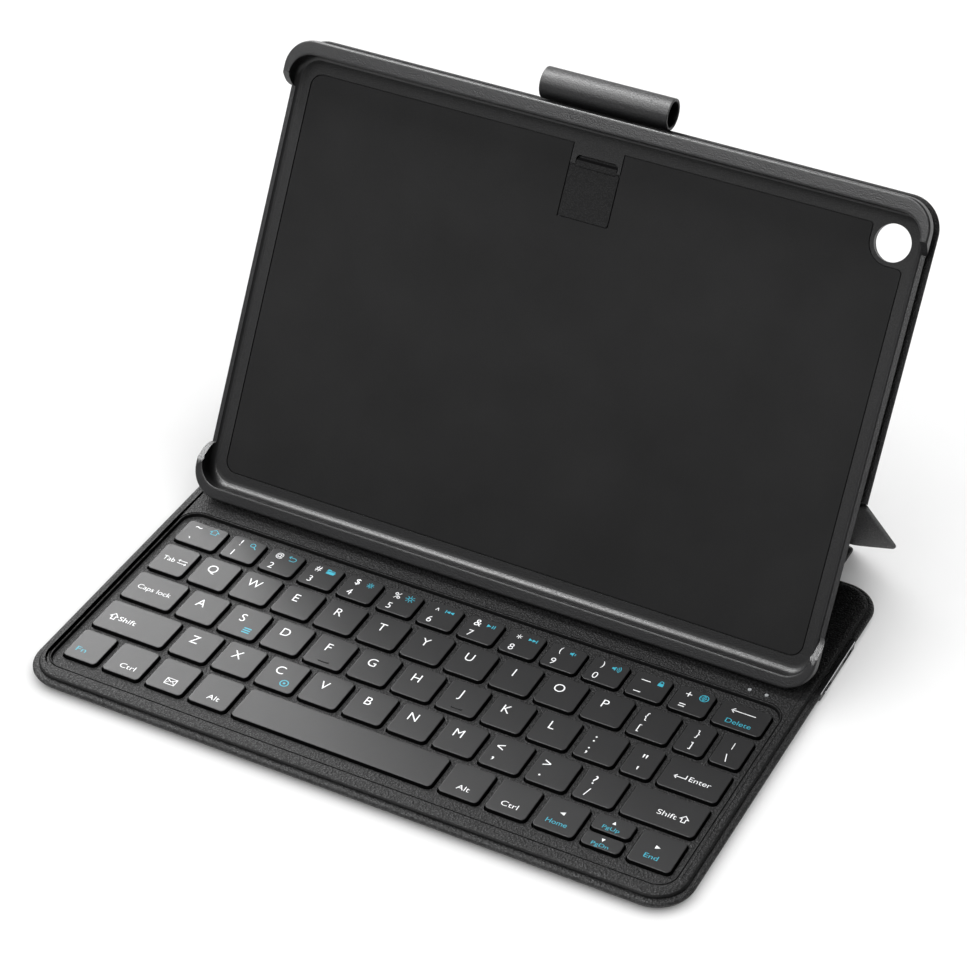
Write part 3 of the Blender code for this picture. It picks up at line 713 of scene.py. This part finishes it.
def icon(pr, kind, x, y, ink="blue"):
    """Small generic function symbols, about 3 mm across, centred on (x, y)."""
    thin = 0.3
    pr = pr.at(x, y)
    if kind == "home":
        pr.line([(-1.1, 0.1), (-1.1, -1.3), (1.1, -1.3), (1.1, 0.1), (1.8, 0.1),
                 (0.0, 1.5), (-1.8, 0.1)], thin, ink, closed=True)
    elif kind == "search":
        pr.ring(-0.35, 0.35, 0.95, thin, ink)
        pr.line([(0.35, -0.35), (1.5, -1.5)], thin * 1.4, ink)
    elif kind == "back":
        pr.line([(-1.2, 0.8), (1.1, 0.8), (1.7, 0.2), (1.7, -0.5),
                 (1.1, -1.1), (-0.8, -1.1)], thin, ink)
        pr.line([(-0.7, 1.5), (-1.4, 0.8), (-0.7, 0.1)], thin, ink)
    elif kind == "folder":
        pr.polygon([(-1.7, -1.2), (1.5, -1.2), (1.9, 0.3), (-1.3, 0.3)], ink)
        pr.polygon([(-1.7, -0.6), (-1.35, 0.6), (1.5, 0.6), (1.5, 0.9),
                    (-0.1, 0.9), (-0.4, 1.3), (-1.7, 1.3)], ink)
    elif kind in ("dim", "bright"):
        size = 0.6 if kind == "dim" else 0.7
        reach = 1.45 if kind == "dim" else 1.9
        pr.ring(0.0, 0.0, size, thin, ink)
        for k in range(8):
            turn = math.radians(45.0 * k)
            pr.line([((size + 0.3) * math.cos(turn), (size + 0.3) * math.sin(turn)),
                     (reach * math.cos(turn), reach * math.sin(turn))], thin * 0.85, ink)
    elif kind in ("previous", "next"):
        way = 180.0 if kind == "previous" else 0.0
        pr.triangle(-0.75, 0.0, 0.95, way, ink)
        pr.triangle(0.75, 0.0, 0.95, way, ink)
        bar = -1.8 if kind == "previous" else 1.8
        pr.line([(bar, -0.85), (bar, 0.85)], thin, ink)
    elif kind == "play":
        pr.triangle(-0.9, 0.0, 1.0, 0.0, ink)
        pr.line([(0.6, -0.85), (0.6, 0.85)], thin * 1.2, ink)
        pr.line([(1.4, -0.85), (1.4, 0.85)], thin * 1.2, ink)
    elif kind in ("quieter", "louder"):
        pr.polygon([(-1.5, -0.45), (-0.9, -0.45), (-0.2, -1.1), (-0.2, 1.1),
                    (-0.9, 0.45), (-1.5, 0.45)], ink)
        pr.line(arc(-0.2, 0.0, 0.75, -50.0, 50.0, 5), thin * 0.8, ink)
        if kind == "louder":
            pr.line(arc(-0.2, 0.0, 1.4, -50.0, 50.0, 6), thin * 0.8, ink)
            pr.line(arc(-0.2, 0.0, 2.0, -50.0, 50.0, 7), thin * 0.8, ink)
    elif kind == "lock":
        pr.polygon([(-1.0, -1.3), (1.0, -1.3), (1.0, 0.2), (-1.0, 0.2)], ink)
        pr.line([(-0.6, 0.1), *arc(0.0, 0.7, 0.6, 180.0, 0.0, 6), (0.6, 0.1)], thin, ink)
    elif kind == "globe":
        pr.ring(0.0, 0.0, 1.6, thin, ink)
        pr.line([(-1.5, 0.0), (1.5, 0.0)], thin * 0.7, ink)
        pr.line([(0.0, -1.5), (0.0, 1.5)], thin * 0.7, ink)
        pr.line(arc(1.35, 0.0, 1.95, 132.0, 228.0, 8), thin * 0.7, ink)
        pr.line(arc(-1.35, 0.0, 1.95, -48.0, 48.0, 8), thin * 0.7, ink)
    elif kind == "mail":
        pr.line([(-2.0, -1.5), (2.0, -1.5), (2.0, 1.5), (-2.0, 1.5)], 0.28, ink, closed=True)
        pr.line([(-1.9, 1.3), (0.0, -0.1), (1.9, 1.3)], 0.28, ink)
        pr.line([(-1.9, -1.4), (-0.7, 0.2)], 0.22, ink)
        pr.line([(1.9, -1.4), (0.7, 0.2)], 0.22, ink)
    elif kind == "bars":
        for dy in (-1.1, 0.0, 1.1):
            pr.line([(-1.5, dy), (1.5, dy)], 0.55, ink)
    elif kind == "target":
        pr.ring(0.0, 0.0, 1.5, 0.4, ink)
        pr.disc(0.0, 0.0, 0.5, ink)


def shift_arrow(pr, x, y):
    """Hollow upward arrow."""
    pr = pr.at(x, y)
    pr.line([(-1.5, 0.1), (0.0, 1.7), (1.5, 0.1), (0.7, 0.1), (0.7, -1.5),
             (-0.7, -1.5), (-0.7, 0.1)], 0.32, closed=True)


NUMBER_ICONS = ("search", "back", "folder", "dim", "bright",
                "previous", "play", "next", "quieter", "louder")
NUMBER_SYMBOLS = {          # over each digit: symbol and its drawn height
    "1": ("!", 3.3), "2": ("@", 3.2), "3": ("#", 3.0), "4": ("$", 3.5), "5": ("%", 3.2),
    "6": ("^", 1.5), "7": ("&", 3.4), "8": ("*", 2.3), "9": ("(", 3.7), "0": (")", 3.7),
}
PAIRS = {                   # upper and lower symbol, each with its drawn height, and their place across
    "bracket_left": ("{", 4.2, "[", 3.8, 3.5), "bracket_right": ("}", 4.2, "]", 3.8, 5.2),
    "backslash": ("|", 3.4, "\\", 3.8, 5.0), "semicolon": (":", 2.9, ";", 3.5, 4.0),
    "quote": ('"', 1.8, "'", 1.7, 5.2), "comma": ("<", 2.9, ",", 1.7, 3.9),
    "period": (">", 2.9, ".", 0.8, 4.0), "slash": ("?", 4.2, "/", 3.8, 4.2),
}
WORD_HEIGHT = 2.4


def legends(name, limits):
    """Everything printed on one key."""
    pr = Print(limits)
    if len(name) == 1:
        pr.text(name.upper(), 5.7, 9.9, 4.2)
        if name == "s":
            icon(pr, "bars", 10.3, 4.1)
        if name == "c":
            icon(pr, "target", 10.3, 4.2)
    elif name.startswith("number_"):
        digit = name[-1]
        symbol, height = NUMBER_SYMBOLS[digit]
        pr.text(symbol, 4.2, 9.5, height, own_height=True)
        pr.text(digit, 4.0, 3.5, 3.4)
        icon(pr, NUMBER_ICONS["1234567890".index(digit)], 9.3, 9.6)
    elif name in PAIRS:
        upper, upper_height, lower, lower_height, x = PAIRS[name]
        pr.text(upper, x, 10.3, upper_height, own_height=True)
        pr.text(lower, x, 4.0, lower_height, own_height=True)
    elif name == "grave":
        pr.text("~", 5.1, 9.9, 0.85, own_height=True)
        pr.text("`", 4.8, 3.4, 0.9, own_height=True)
        icon(pr, "home", 11.9, 9.9)
    elif name == "minus":
        pr.line([(3.0, 8.9), (6.4, 8.9)], 0.4)
        pr.line([(2.7, 2.5), (5.4, 2.5)], 0.4)
        icon(pr, "lock", 10.2, 9.6)
    elif name == "equal":
        pr.text("+", 4.5, 9.3, 2.5, own_height=True)
        pr.text("=", 4.4, 3.2, 1.6, own_height=True)
        icon(pr, "globe", 10.1, 9.6)
    elif name == "delete":
        pr.arrow(13.4, 4.4, 8.9, 1.1, 0.36)
        pr.text("Delete", 9.2, 3.4, WORD_HEIGHT, "blue", 9.4)
    elif name == "tab":
        pr.text("Tab", 5.0, 7.8, WORD_HEIGHT, width=5.0)
        pr.arrow(12.4, 8.7, 8.5, 0.6, 0.26)
        pr.arrow(8.7, 12.4, 7.0, 0.6, 0.26)
    elif name == "caps_lock":
        pr.text("Caps lock", 10.2, 7.8, WORD_HEIGHT, width=13.8)
    elif name == "shift_left":
        shift_arrow(pr, 5.1, 7.2)
        pr.text("Shift", 10.9, 7.2, WORD_HEIGHT, width=7.0)
    elif name == "shift_right":
        pr.text("Shift", 14.8, 6.6, WORD_HEIGHT, width=7.0)
        shift_arrow(pr, 20.9, 6.8)
    elif name == "enter":
        pr.line([(8.4, 8.2), (8.4, 6.4), (4.2, 6.4)], 0.34)
        pr.line([(5.1, 7.3), (4.2, 6.4), (5.1, 5.5)], 0.34)
        pr.text("Enter", 13.5, 7.1, WORD_HEIGHT, width=8.0)
    elif name == "fn":
        pr.text("Fn", 4.8, 5.1, WORD_HEIGHT, "blue", 4.0)
    elif name == "mail":
        icon(pr, "mail", 8.1, 5.0, "white")
    elif name in ("ctrl_left", "ctrl_right"):
        pr.text("Ctrl", 8.2 if name == "ctrl_left" else 7.4, 4.7, WORD_HEIGHT, width=6.2)
    elif name in ("alt_left", "alt_right"):
        pr.text("Alt", 8.1 if name == "alt_left" else 7.6, 4.7, WORD_HEIGHT, width=4.8)
    elif name in ("home", "end"):
        heading = 180.0 if name == "home" else 0.0
        pr.triangle(7.3, 9.2, 1.1, heading)
        pr.text(name.capitalize(), 7.2, 4.5, 2.2, "blue", 7.6 if name == "home" else 5.0)
    elif name in ("page_up", "page_down"):
        up = name == "page_up"
        pr.triangle(6.8, 4.9 if up else 4.1, 0.9, 90.0 if up else -90.0)
        pr.text("PgUp" if up else "PgDn", 6.8, 2.2 if up else 1.6, 1.7, "blue", 6.2)
    return pr.shapes


def build_key(node, names, keys):
    """One piece for a key node: caps, their sides in painted shade, and the print on them."""
    parts = [cap_mesh(keys[name]) for name in names]
    parts += [finger_bar(keys[name]) for name in names if name in ("f", "j")]
    verts, faces = merged(parts)
    obj = piece(f"{node}_visual", verts, faces, KEY_PLASTIC)
    obj.data.materials.append(KEY_SIDE_PAINTED_SHADE)
    # Faces leaning away from straight up take the near-black copy: painted shade on the caps' sides.
    for face in obj.data.polygons:
        if face.normal.z < 0.6:
            face.material_index = 1
    smooth(obj, 40.0)
    place(obj, f"{node}_cap", "keycap", node)
    printing = {"white": [], "blue": []}
    for name in names:
        for ink, shapes in legends(name, keys[name]).items():
            printing[ink].extend(shapes)
    for ink, material in (("white", WHITE_INK), ("blue", BLUE_INK)):
        if printing[ink]:
            verts, faces = merged(printing[ink])
            sign = piece(f"{node}_{ink}_print", verts, faces, material, outward=False)
            for face in sign.data.polygons:
                if face.normal.z < 0:
                    face.flip()
            place(sign, f"{node}_cap", "keycap")


def build_keys():
    keys = key_layout()
    build_plate(keys)
    grouped = {name for names in KEY_GROUPS.values() for name in names}
    for name in keys:
        if name not in grouped:
            build_key(f"key_{name}", [name], keys)
    for group, names in KEY_GROUPS.items():
        build_key(group, names, keys)


# -------- stand and back panel

def on_leaf(x, s, t):
    """Leaf coordinates: x across, s up the leaf, t out of its front face."""
    return (x, FOLD_HINGE[1] + s * math.cos(LEAF_ANGLE) - t * math.sin(LEAF_ANGLE),
            FOLD_HINGE[2] + s * math.sin(LEAF_ANGLE) + t * math.cos(LEAF_ANGLE))


def on_tray(x, v, h):
    """Tray coordinates: x across, v up the tray, h out of its floor."""
    return (x, CREASE[1] + (v - CREASE_V) * math.cos(TRAY_ANGLE) - (h - CREASE_H) * math.sin(TRAY_ANGLE),
            CREASE[2] + (v - CREASE_V) * math.sin(TRAY_ANGLE) + (h - CREASE_H) * math.cos(TRAY_ANGLE))


def tray_ring(outline, h):
    """An outline across the tray, at height h out of its floor."""
    return [on_tray(x, v, h) for x, v in outline]


def on_spine(x, y, z):
    return (x, SPINE_HINGE[1] + y, SPINE_HINGE[2] + z)


def board_rings(plan, put, mid, half):
    """Leather-wrapped board: a full round edge about height mid; plan(inset) is its outline."""
    rings = []
    steps = 6
    for k in range(steps + 1):
        turn = math.radians(-90.0 + 180.0 * k / steps)
        inset = half * (1.0 - math.cos(turn))
        rings.append([put(x, y, mid + half * math.sin(turn)) for x, y in plan(inset)])
    return rings


def build_spine():
    def plan(inset):
        return shrunk(-SPINE_HALF_WIDTH, SPINE_HALF_WIDTH, 0.7, SPINE_LENGTH - 2.05, 1.6, inset, 4)
    spine = piece("spine_wrap", *loft_mesh(board_rings(plan, on_spine, 0.0, SHEET / 2)), LEATHER)
    smooth(spine)
    place(spine, "spine", "leather", "spine_board")


def rounded_path(points, radii, steps=5):
    """Closed polygon with each corner rounded by its own radius."""
    path = []
    count = len(points)
    for i, point in enumerate(points):
        here = Vector(point)
        a = (Vector(points[i - 1]) - here).normalized()
        b = (Vector(points[(i + 1) % count]) - here).normalized()
        if radii[i] <= 0:
            path.append(tuple(here))
            continue
        half = math.acos(max(-1.0, min(1.0, a.dot(b)))) / 2
        reach = radii[i] / math.tan(half)
        start = here + a * reach
        finish = here + b * reach
        for k in range(steps + 1):
            t = k / steps
            path.append(tuple(start * (1 - t) ** 2 + here * 2 * t * (1 - t) + finish * t ** 2))
    return path


def build_leaf():
    def plan(inset):
        wide = PANEL_HALF_WIDTH - inset
        narrow = SPINE_HALF_WIDTH - inset * 0.4
        low = 2.05 + inset
        high = LEAF_LENGTH - 0.7 - inset
        cut = 20.0 + inset * 0.4
        corners = [(narrow, low), (wide, cut), (wide, high), (-wide, high), (-wide, cut), (-narrow, low)]
        return rounded_path(corners, [9.0, 6.0, 0.6, 0.6, 6.0, 9.0])
    leaf = piece("leaf_wrap", *loft_mesh(board_rings(plan, on_leaf, 0.0, SHEET / 2)), LEATHER)
    smooth(leaf)
    place(leaf, "stand", "leather", "stand_leaf")


def build_hinge_skins():
    """Covering material curved along the three hinge lines."""
    def strip(name, path, half_width):
        """Thin skin swept across X; path is a list of (y, z) in the case's side view."""
        rows = len(path)
        points = [Vector(p) for p in path]
        loop = []
        for side in (1.0, -1.0):
            order = range(rows) if side > 0 else range(rows - 1, -1, -1)
            for i in order:
                a = points[max(0, i - 1)]
                b = points[min(rows - 1, i + 1)]
                way = (b - a).normalized()
                normal = Vector((-way.y, way.x))
                spot = points[i] + normal * SKIN_HALF * side
                loop.append((spot.x, spot.y))
        rings = [[(x, y, z) for y, z in loop] for x in (-half_width, half_width)]
        skin = piece(name, *loft_mesh(rings), LEATHER)
        smooth(skin, 50.0)
        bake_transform(skin)

    y, z = SPINE_HINGE[1], SPINE_HINGE[2]
    strip("skin_base_hinge", [(y - 5.0, 0.62), (y - 2.0, 0.30), (y, 0.22), (y + 2.0, 0.22)],
          SPINE_HALF_WIDTH)
    y, z = FOLD_HINGE[1], FOLD_HINGE[2]
    out = SHEET / 2 - SKIN_HALF
    ring = []
    for turn in (-90.0, -60.0, -30.0, 0.0, 20.0, 40.0):
        ring.append((y + out * math.cos(math.radians(turn)), z + out * math.sin(math.radians(turn))))
    tail = on_leaf(0.0, 3.0, -out)
    strip("skin_fold", [(y - 3.0, z - out)] + ring + [(tail[1], tail[2])], SPINE_HALF_WIDTH - 4.0)
    y, z = CREASE[1], CREASE[2]
    low = on_leaf(0.0, LEAF_LENGTH - 2.6, -out)
    high = on_tray(0.0, CREASE_V + 2.6, CREASE_H - out)
    path = [(low[1], low[2]), (y + out * 0.80, z + out * 0.45),
            (y + out * 0.98, z - out * 0.05), (high[1], high[2])]
    strip("skin_crease", path, PANEL_HALF_WIDTH - 0.6)


def camera_hole(radius, h0, h1):
    outline = arc(CAMERA_X, CAMERA_V, radius, 0.0, 352.5, 47)
    return loft_mesh([tray_ring(outline, h) for h in (h0, h1)])


def build_back_panel():
    def plan(inset):
        wide = PANEL_HALF_WIDTH - inset
        low = CREASE_V + 0.7 + inset
        high = 165.2 - inset
        radius = 12.0 - inset
        half = arc(wide - radius, high - radius, radius, 0.0, 90.0, 14)
        return [(wide, low)] + half + [(-x, v) for x, v in reversed(half)] + [(-wide, low)]
    panel = piece("panel_wrap", *loft_mesh(board_rings(plan, on_tray, CREASE_H, SHEET / 2)), LEATHER)
    carve(panel, [camera_hole(CAMERA_RADIUS + 0.3, -6.0, 0.0)])
    smooth(panel)
    place(panel, "tray", "leather", "back_panel")


# -------- tray

def tray_outer(inset):
    return shrunk(-TRAY_HALF_WIDTH, TRAY_HALF_WIDTH, TRAY_BOTTOM_V, TRAY_TOP_V, TRAY_CORNER, inset)


def tray_pocket(inset):
    return shrunk(-POCKET_HALF_WIDTH, POCKET_HALF_WIDTH, POCKET_BOTTOM_V, POCKET_TOP_V,
                  POCKET_CORNER, inset)


def cutout(side):
    """Opening of one side between the corner wraps; its ends sweep up to the rim."""
    top = RIM_TOP_H + 1.5
    rise = top - CUTOUT_H
    lower = []
    upper = []
    for k in range(9):
        t = k / 8
        lower.append((CUTOUT_BOTTOM_V - rise * (t ** 1.35), CUTOUT_H + rise * t))
        upper.append((CUTOUT_TOP_V + rise * 0.72 * (t ** 1.35), CUTOUT_H + rise * t))
    profile = lower[::-1] + upper
    near = [on_tray(side * 119.0, v, h) for v, h in profile]
    far = [on_tray(side * 130.0, v, h) for v, h in profile]
    return loft_mesh([near, far])


def pad_outline(offset, notch_bottom):
    wide = PAD_HALF_WIDTH + offset
    low = -offset
    high = PAD_HEIGHT + offset
    corner = 4.5 + offset
    ring = CAMERA_RING - offset
    points = arc(wide - corner, low + corner, corner, -90.0, 0.0, 8)
    points += arc(wide - 1.5, CAMERA_V - ring - 1.5, 1.5, 0.0, 90.0, 5)
    points += arc(CAMERA_X, CAMERA_V, ring, 270.0, 180.0, 14)
    points += arc(CAMERA_X - ring - 1.0, high - 1.0, 1.0, 0.0, 90.0, 4)
    points += [(TAB_RIGHT + 0.3 - offset, high), (TAB_RIGHT + 0.3 - offset, notch_bottom)]
    points += [(TAB_LEFT - 0.3 + offset, notch_bottom), (TAB_LEFT - 0.3 + offset, high)]
    points += arc(-wide + corner, high - corner, corner, 90.0, 180.0, 8)
    points += arc(-wide + corner, low + corner, corner, 180.0, 270.0, 8)
    return points


def build_tray_shell():
    rings = []

    def ring(outline, h):
        rings.append(tray_ring(outline, h))

    for k in range(9):
        turn = math.radians(90.0 - 90.0 * k / 8)
        inset = RIM_ROUND * (1.0 - math.cos(turn))
        ring(tray_outer(inset), TRAY_BACK_H + RIM_ROUND * (1.0 - math.sin(turn)))
    lip = 0.75
    for k in range(6):
        turn = math.radians(90.0 * k / 5)
        ring(tray_outer(lip * (1.0 - math.cos(turn))), RIM_TOP_H - lip * (1.0 - math.sin(turn)))
    ring(tray_outer(lip + 0.3), RIM_TOP_H)
    # A small bead overhangs the pocket's wall all round.
    for inset, drop in ((-0.4, 0.0), (0.14, 0.02), (0.38, 0.12), (0.5, 0.36), (0.5, 0.75),
                        (0.3, 1.1), (0.05, 1.6)):
        ring(tray_pocket(inset), RIM_TOP_H - drop)
    for k in range(9):
        turn = math.radians(90.0 * k / 8)
        ring(tray_pocket(COVE * (1.0 - math.cos(turn))), COVE * (1.0 - math.sin(turn)))
    shell = piece("tray_frame", *loft_mesh(rings), FRAME_SKIN)
    recess = pad_outline(0.3, SLOT_BOTTOM_V)
    slot = rectangle(-8.2, 8.2, SLOT_BOTTOM_V - 0.6, SLOT_TOP_V, 1.5, 5)
    channel = rectangle(-8.2, 8.2, SLOT_BOTTOM_V + 2.0, TRAY_TOP_V + 1.0, 0.2, 1)
    carve(shell, [
        cutout(1.0), cutout(-1.0),
        loft_mesh([tray_ring(recess, h) for h in (-0.8, 1.0)]),
        camera_hole(CAMERA_RADIUS, -4.0, 4.0),
        loft_mesh([tray_ring(slot, h) for h in (-4.0, 4.0)]),
        loft_mesh([tray_ring(channel, TRAY_BACK_H + h) for h in (-1.0, 0.8)]),
    ])
    shell.data.materials.append(FLOOR_SKIN)
    outward = Vector((0.0, -math.sin(TRAY_ANGLE), math.cos(TRAY_ANGLE)))
    floor_point = Vector(on_tray(0.0, 0.0, 0.0)) * MM
    shell.data.materials.append(WALL_SKIN_PAINTED_SHADE)
    for face in shell.data.polygons:
        height = (face.center - floor_point).dot(outward)
        if -1.0 * MM < height < 0.3 * MM and face.normal.dot(outward) > 0.9:
            face.material_index = 1
        # Steep walls, and the cove beside the pocket floor, take the near-black glossy skin: painted
        # shade.
        elif abs(face.normal.dot(outward)) < 0.5:
            face.material_index = 2
        elif 0.3 * MM < height < (COVE + 0.5) * MM and face.normal.dot(outward) < 0.8:
            face.material_index = 2
    bevel = shell.modifiers.new("cut_edges", "BEVEL")
    bevel.width = 0.22 * MM
    bevel.segments = 2
    bevel.limit_method = "ANGLE"
    bevel.angle_limit = math.radians(50.0)
    smooth(shell, 40.0)
    place(shell, "tray", "shell_plastic", "tray_shell")


def build_pad():
    rings = []
    for inset, h in ((0.0, -0.5), (0.0, -0.22), (0.07, -0.08), (0.25, 0.0)):
        rings.append(tray_ring(pad_outline(-inset, TAB_BOTTOM_V), h))
    pad = piece("pad_lining", *loft_mesh(rings), PAD)
    smooth(pad)
    place(pad, "tray", "pad_microfibre", "tray_pad")


def build_pen_loop():
    """Strap and tube of thin leather with turned edges."""
    left = LOOP_X - LOOP_LENGTH / 2
    right = LOOP_X + LOOP_LENGTH / 2
    inner = LOOP_RADIUS - LOOP_WALL

    def hoop(radius, x):
        return [on_tray(x, v, h) for v, h in arc(LOOP_V, 0.0, radius, 0.0, 352.5, 47)]

    edge = 0.35
    rings = [
        hoop(LOOP_RADIUS - edge, left), hoop(LOOP_RADIUS - 0.1, left + 0.1),
        hoop(LOOP_RADIUS, left + edge), hoop(LOOP_RADIUS, right - edge),
        hoop(LOOP_RADIUS - 0.1, right - 0.1), hoop(LOOP_RADIUS - edge, right),
        hoop(inner + edge, right), hoop(inner, right - edge),
        hoop(inner, left + edge), hoop(inner + edge, left)]
    tube = piece("loop_wrap", *loft_mesh(rings, closed=True), LOOP_LEATHER)
    smooth(tube)
    place(tube, "tray", "leather", "pen_loop")
    back = TRAY_BACK_H
    front = back + 0.5
    run = [(SLOT_BOTTOM_V - 1.0, -0.5), (SLOT_BOTTOM_V + 1.0, -0.5), (SLOT_BOTTOM_V + 1.8, back),
           (LOOP_V - inner - 0.5, back), (LOOP_V - inner - 0.5, front), (SLOT_BOTTOM_V + 2.4, front),
           (SLOT_BOTTOM_V + 1.5, 0.0), (SLOT_BOTTOM_V - 1.0, 0.0)]
    # The strap takes the darker leather: painted shade.
    strap = piece("loop_strap", *loft_mesh([[on_tray(x, v, h) for v, h in run] for x in (-7.9, 7.9)]),
                  LEATHER_PAINTED_SHADE)
    smooth(strap)
    place(strap, "tray", "leather")
    rings = []
    for inset, h in ((0.0, -0.5), (0.0, -0.2), (0.08, -0.05), (0.25, 0.0)):
        outline = shrunk(TAB_LEFT, TAB_RIGHT, TAB_BOTTOM_V + 0.3, SLOT_BOTTOM_V - 0.3, 1.0, inset, 4)
        rings.append(tray_ring(outline, h))
    tab = piece("loop_tab", *loft_mesh(rings), STRAP_LEATHER)
    smooth(tab)
    place(tab, "tray", "leather")


# -------- kept CAD pieces

def dress_cad_nodes():
    kept = {
        "key_plate": PLATE, "dome_sheet": INNER, "circuit_board": CIRCUIT, "battery": FOIL,
        "magnet_left": PLATED, "magnet_right": PLATED, "power_lamp": LAMP, "link_lamp": LAMP,
        "side_bezel": INNER, "charge_port": STEEL, "power_switch": STEEL,
    }
    for name, material in kept.items():
        node = frame["nodes"][name]
        node.data.materials.clear()
        node.data.materials.append(material)
    for name in ("side_bezel", "power_switch", "charge_port"):
        bevel = frame["nodes"][name].modifiers.new("soft_edges", "BEVEL")
        bevel.width = 0.15 * MM
        bevel.segments = 2


# -------- stage, light, camera

def build_stage():
    """A pale sweep: flat floor that curves up far behind the case."""
    half = 3000.0
    rear = 1500.0
    bend = 900.0
    sweep = arc(rear, bend, bend, -90.0, 0.0, 12)[1:]
    path = [(-2500.0, 0.0), (rear, 0.0)] + sweep + [(rear + bend, 3000.0)]
    verts = [(x, y, z - 0.02) for y, z in path for x in (-half, half)]
    faces = [(2 * i, 2 * i + 1, 2 * i + 3, 2 * i + 2) for i in range(len(path) - 1)]
    shade = Shade("floor", (0.8, 0.8, 0.8), 0.9, Specular_IOR_Level=0.1)
    speck = shade.noise(60.0, 3.0)
    shade.colour(shade.ramp(speck, 0.79, 0.81))
    floor = piece("floor", verts, faces, shade.material, outward=False)
    floor.data.shade_smooth()


def area_light(name, place_mm, target_mm, size_mm, power):
    data = bpy.data.lights.new(name, "AREA")
    data.shape = "RECTANGLE"
    data.size = size_mm[0] * MM
    data.size_y = size_mm[1] * MM
    data.energy = power
    lamp = bpy.data.objects.new(name, data)
    bpy.context.scene.collection.objects.link(lamp)
    spot = Vector(place_mm) * MM
    lamp.location = spot
    lamp.rotation_euler = (Vector(target_mm) * MM - spot).to_track_quat("-Z", "Y").to_euler()
    return lamp


def link_lamp(lamp, names, state):
    """Lights only the named pieces (INCLUDE), or everything but them (EXCLUDE)."""
    links = bpy.data.collections.new(f"{lamp.name}_links")
    for name in names:
        links.objects.link(bpy.data.objects[name])
    for entry in links.collection_objects:
        entry.light_linking.link_state = state
    lamp.light_linking.receiver_collection = links
    lamp.visible_camera = False


def build_light_and_camera():
    scene = bpy.context.scene
    world = bpy.data.worlds.new("studio")
    world.use_nodes = True
    nodes = world.node_tree.nodes
    sky = nodes["Background"]
    sky.inputs["Color"].default_value = (1.0, 1.0, 1.0, 1.0)
    ray = nodes.new("ShaderNodeLightPath")
    strength = nodes.new("ShaderNodeMapRange")
    strength.inputs["To Min"].default_value = ROOM_LIGHT
    strength.inputs["To Max"].default_value = 1.0
    world.node_tree.links.new(ray.outputs["Is Camera Ray"], strength.inputs["Value"])
    world.node_tree.links.new(strength.outputs["Result"], sky.inputs["Strength"])
    scene.world = world
    softboxes = (       # name, place, aim, size, watts, and the pieces linked to it
        ("softbox_back_left", (-1250.0, 1000.0, 1000.0), (-60.0, 0.0, 0.0), (900.0, 650.0), 24.5,
         ["floor"], "EXCLUDE"),
        ("softbox_front", (-350.0, -1100.0, 1450.0), (0.0, 0.0, 40.0), (1300.0, 900.0), 32.0,
         ["floor"], "EXCLUDE"),
        ("softbox_top", (-600.0, 280.0, 1430.0), (0.0, 40.0, 40.0), (500.0, 500.0), 12.5,
         ["floor"], "EXCLUDE"),
        ("softbox_rim", (-560.0, 200.0, 1400.0), (-560.0, 200.0, 0.0), (400.0, 1000.0), 26.0,
         ["tray_frame", "loop_wrap"], "INCLUDE"),
        ("softbox_floor", (0.0, 0.0, 1500.0), (0.0, 0.0, 0.0), (7000.0, 7000.0), 240.0,
         ["floor"], "INCLUDE"),
    )
    for name, place_mm, target_mm, size_mm, power, names, state in softboxes:
        link_lamp(area_light(name, place_mm, target_mm, size_mm, power), names, state)

    data = bpy.data.cameras.new("view")
    data.lens = CAMERA_LENS
    data.sensor_width = 36.0
    data.clip_start = 0.01
    data.clip_end = 20.0
    camera = bpy.data.objects.new("view", data)
    scene.collection.objects.link(camera)
    turn = Vector(CAMERA_HEADING).to_track_quat("-Z", "Y").to_matrix().to_4x4()
    roll = Matrix.Rotation(math.radians(CAMERA_ROLL), 4, "Z")
    camera.matrix_world = Matrix.Translation(Vector(CAMERA_PLACE) * MM) @ turn @ roll
    scene.camera = camera
    scene.view_settings.view_transform = "Standard"


build_base()
build_side_details()
build_keys()
build_spine()
build_leaf()
build_hinge_skins()
build_back_panel()
build_tray_shell()
build_pad()
build_pen_loop()
dress_cad_nodes()
build_stage()
build_light_and_camera()
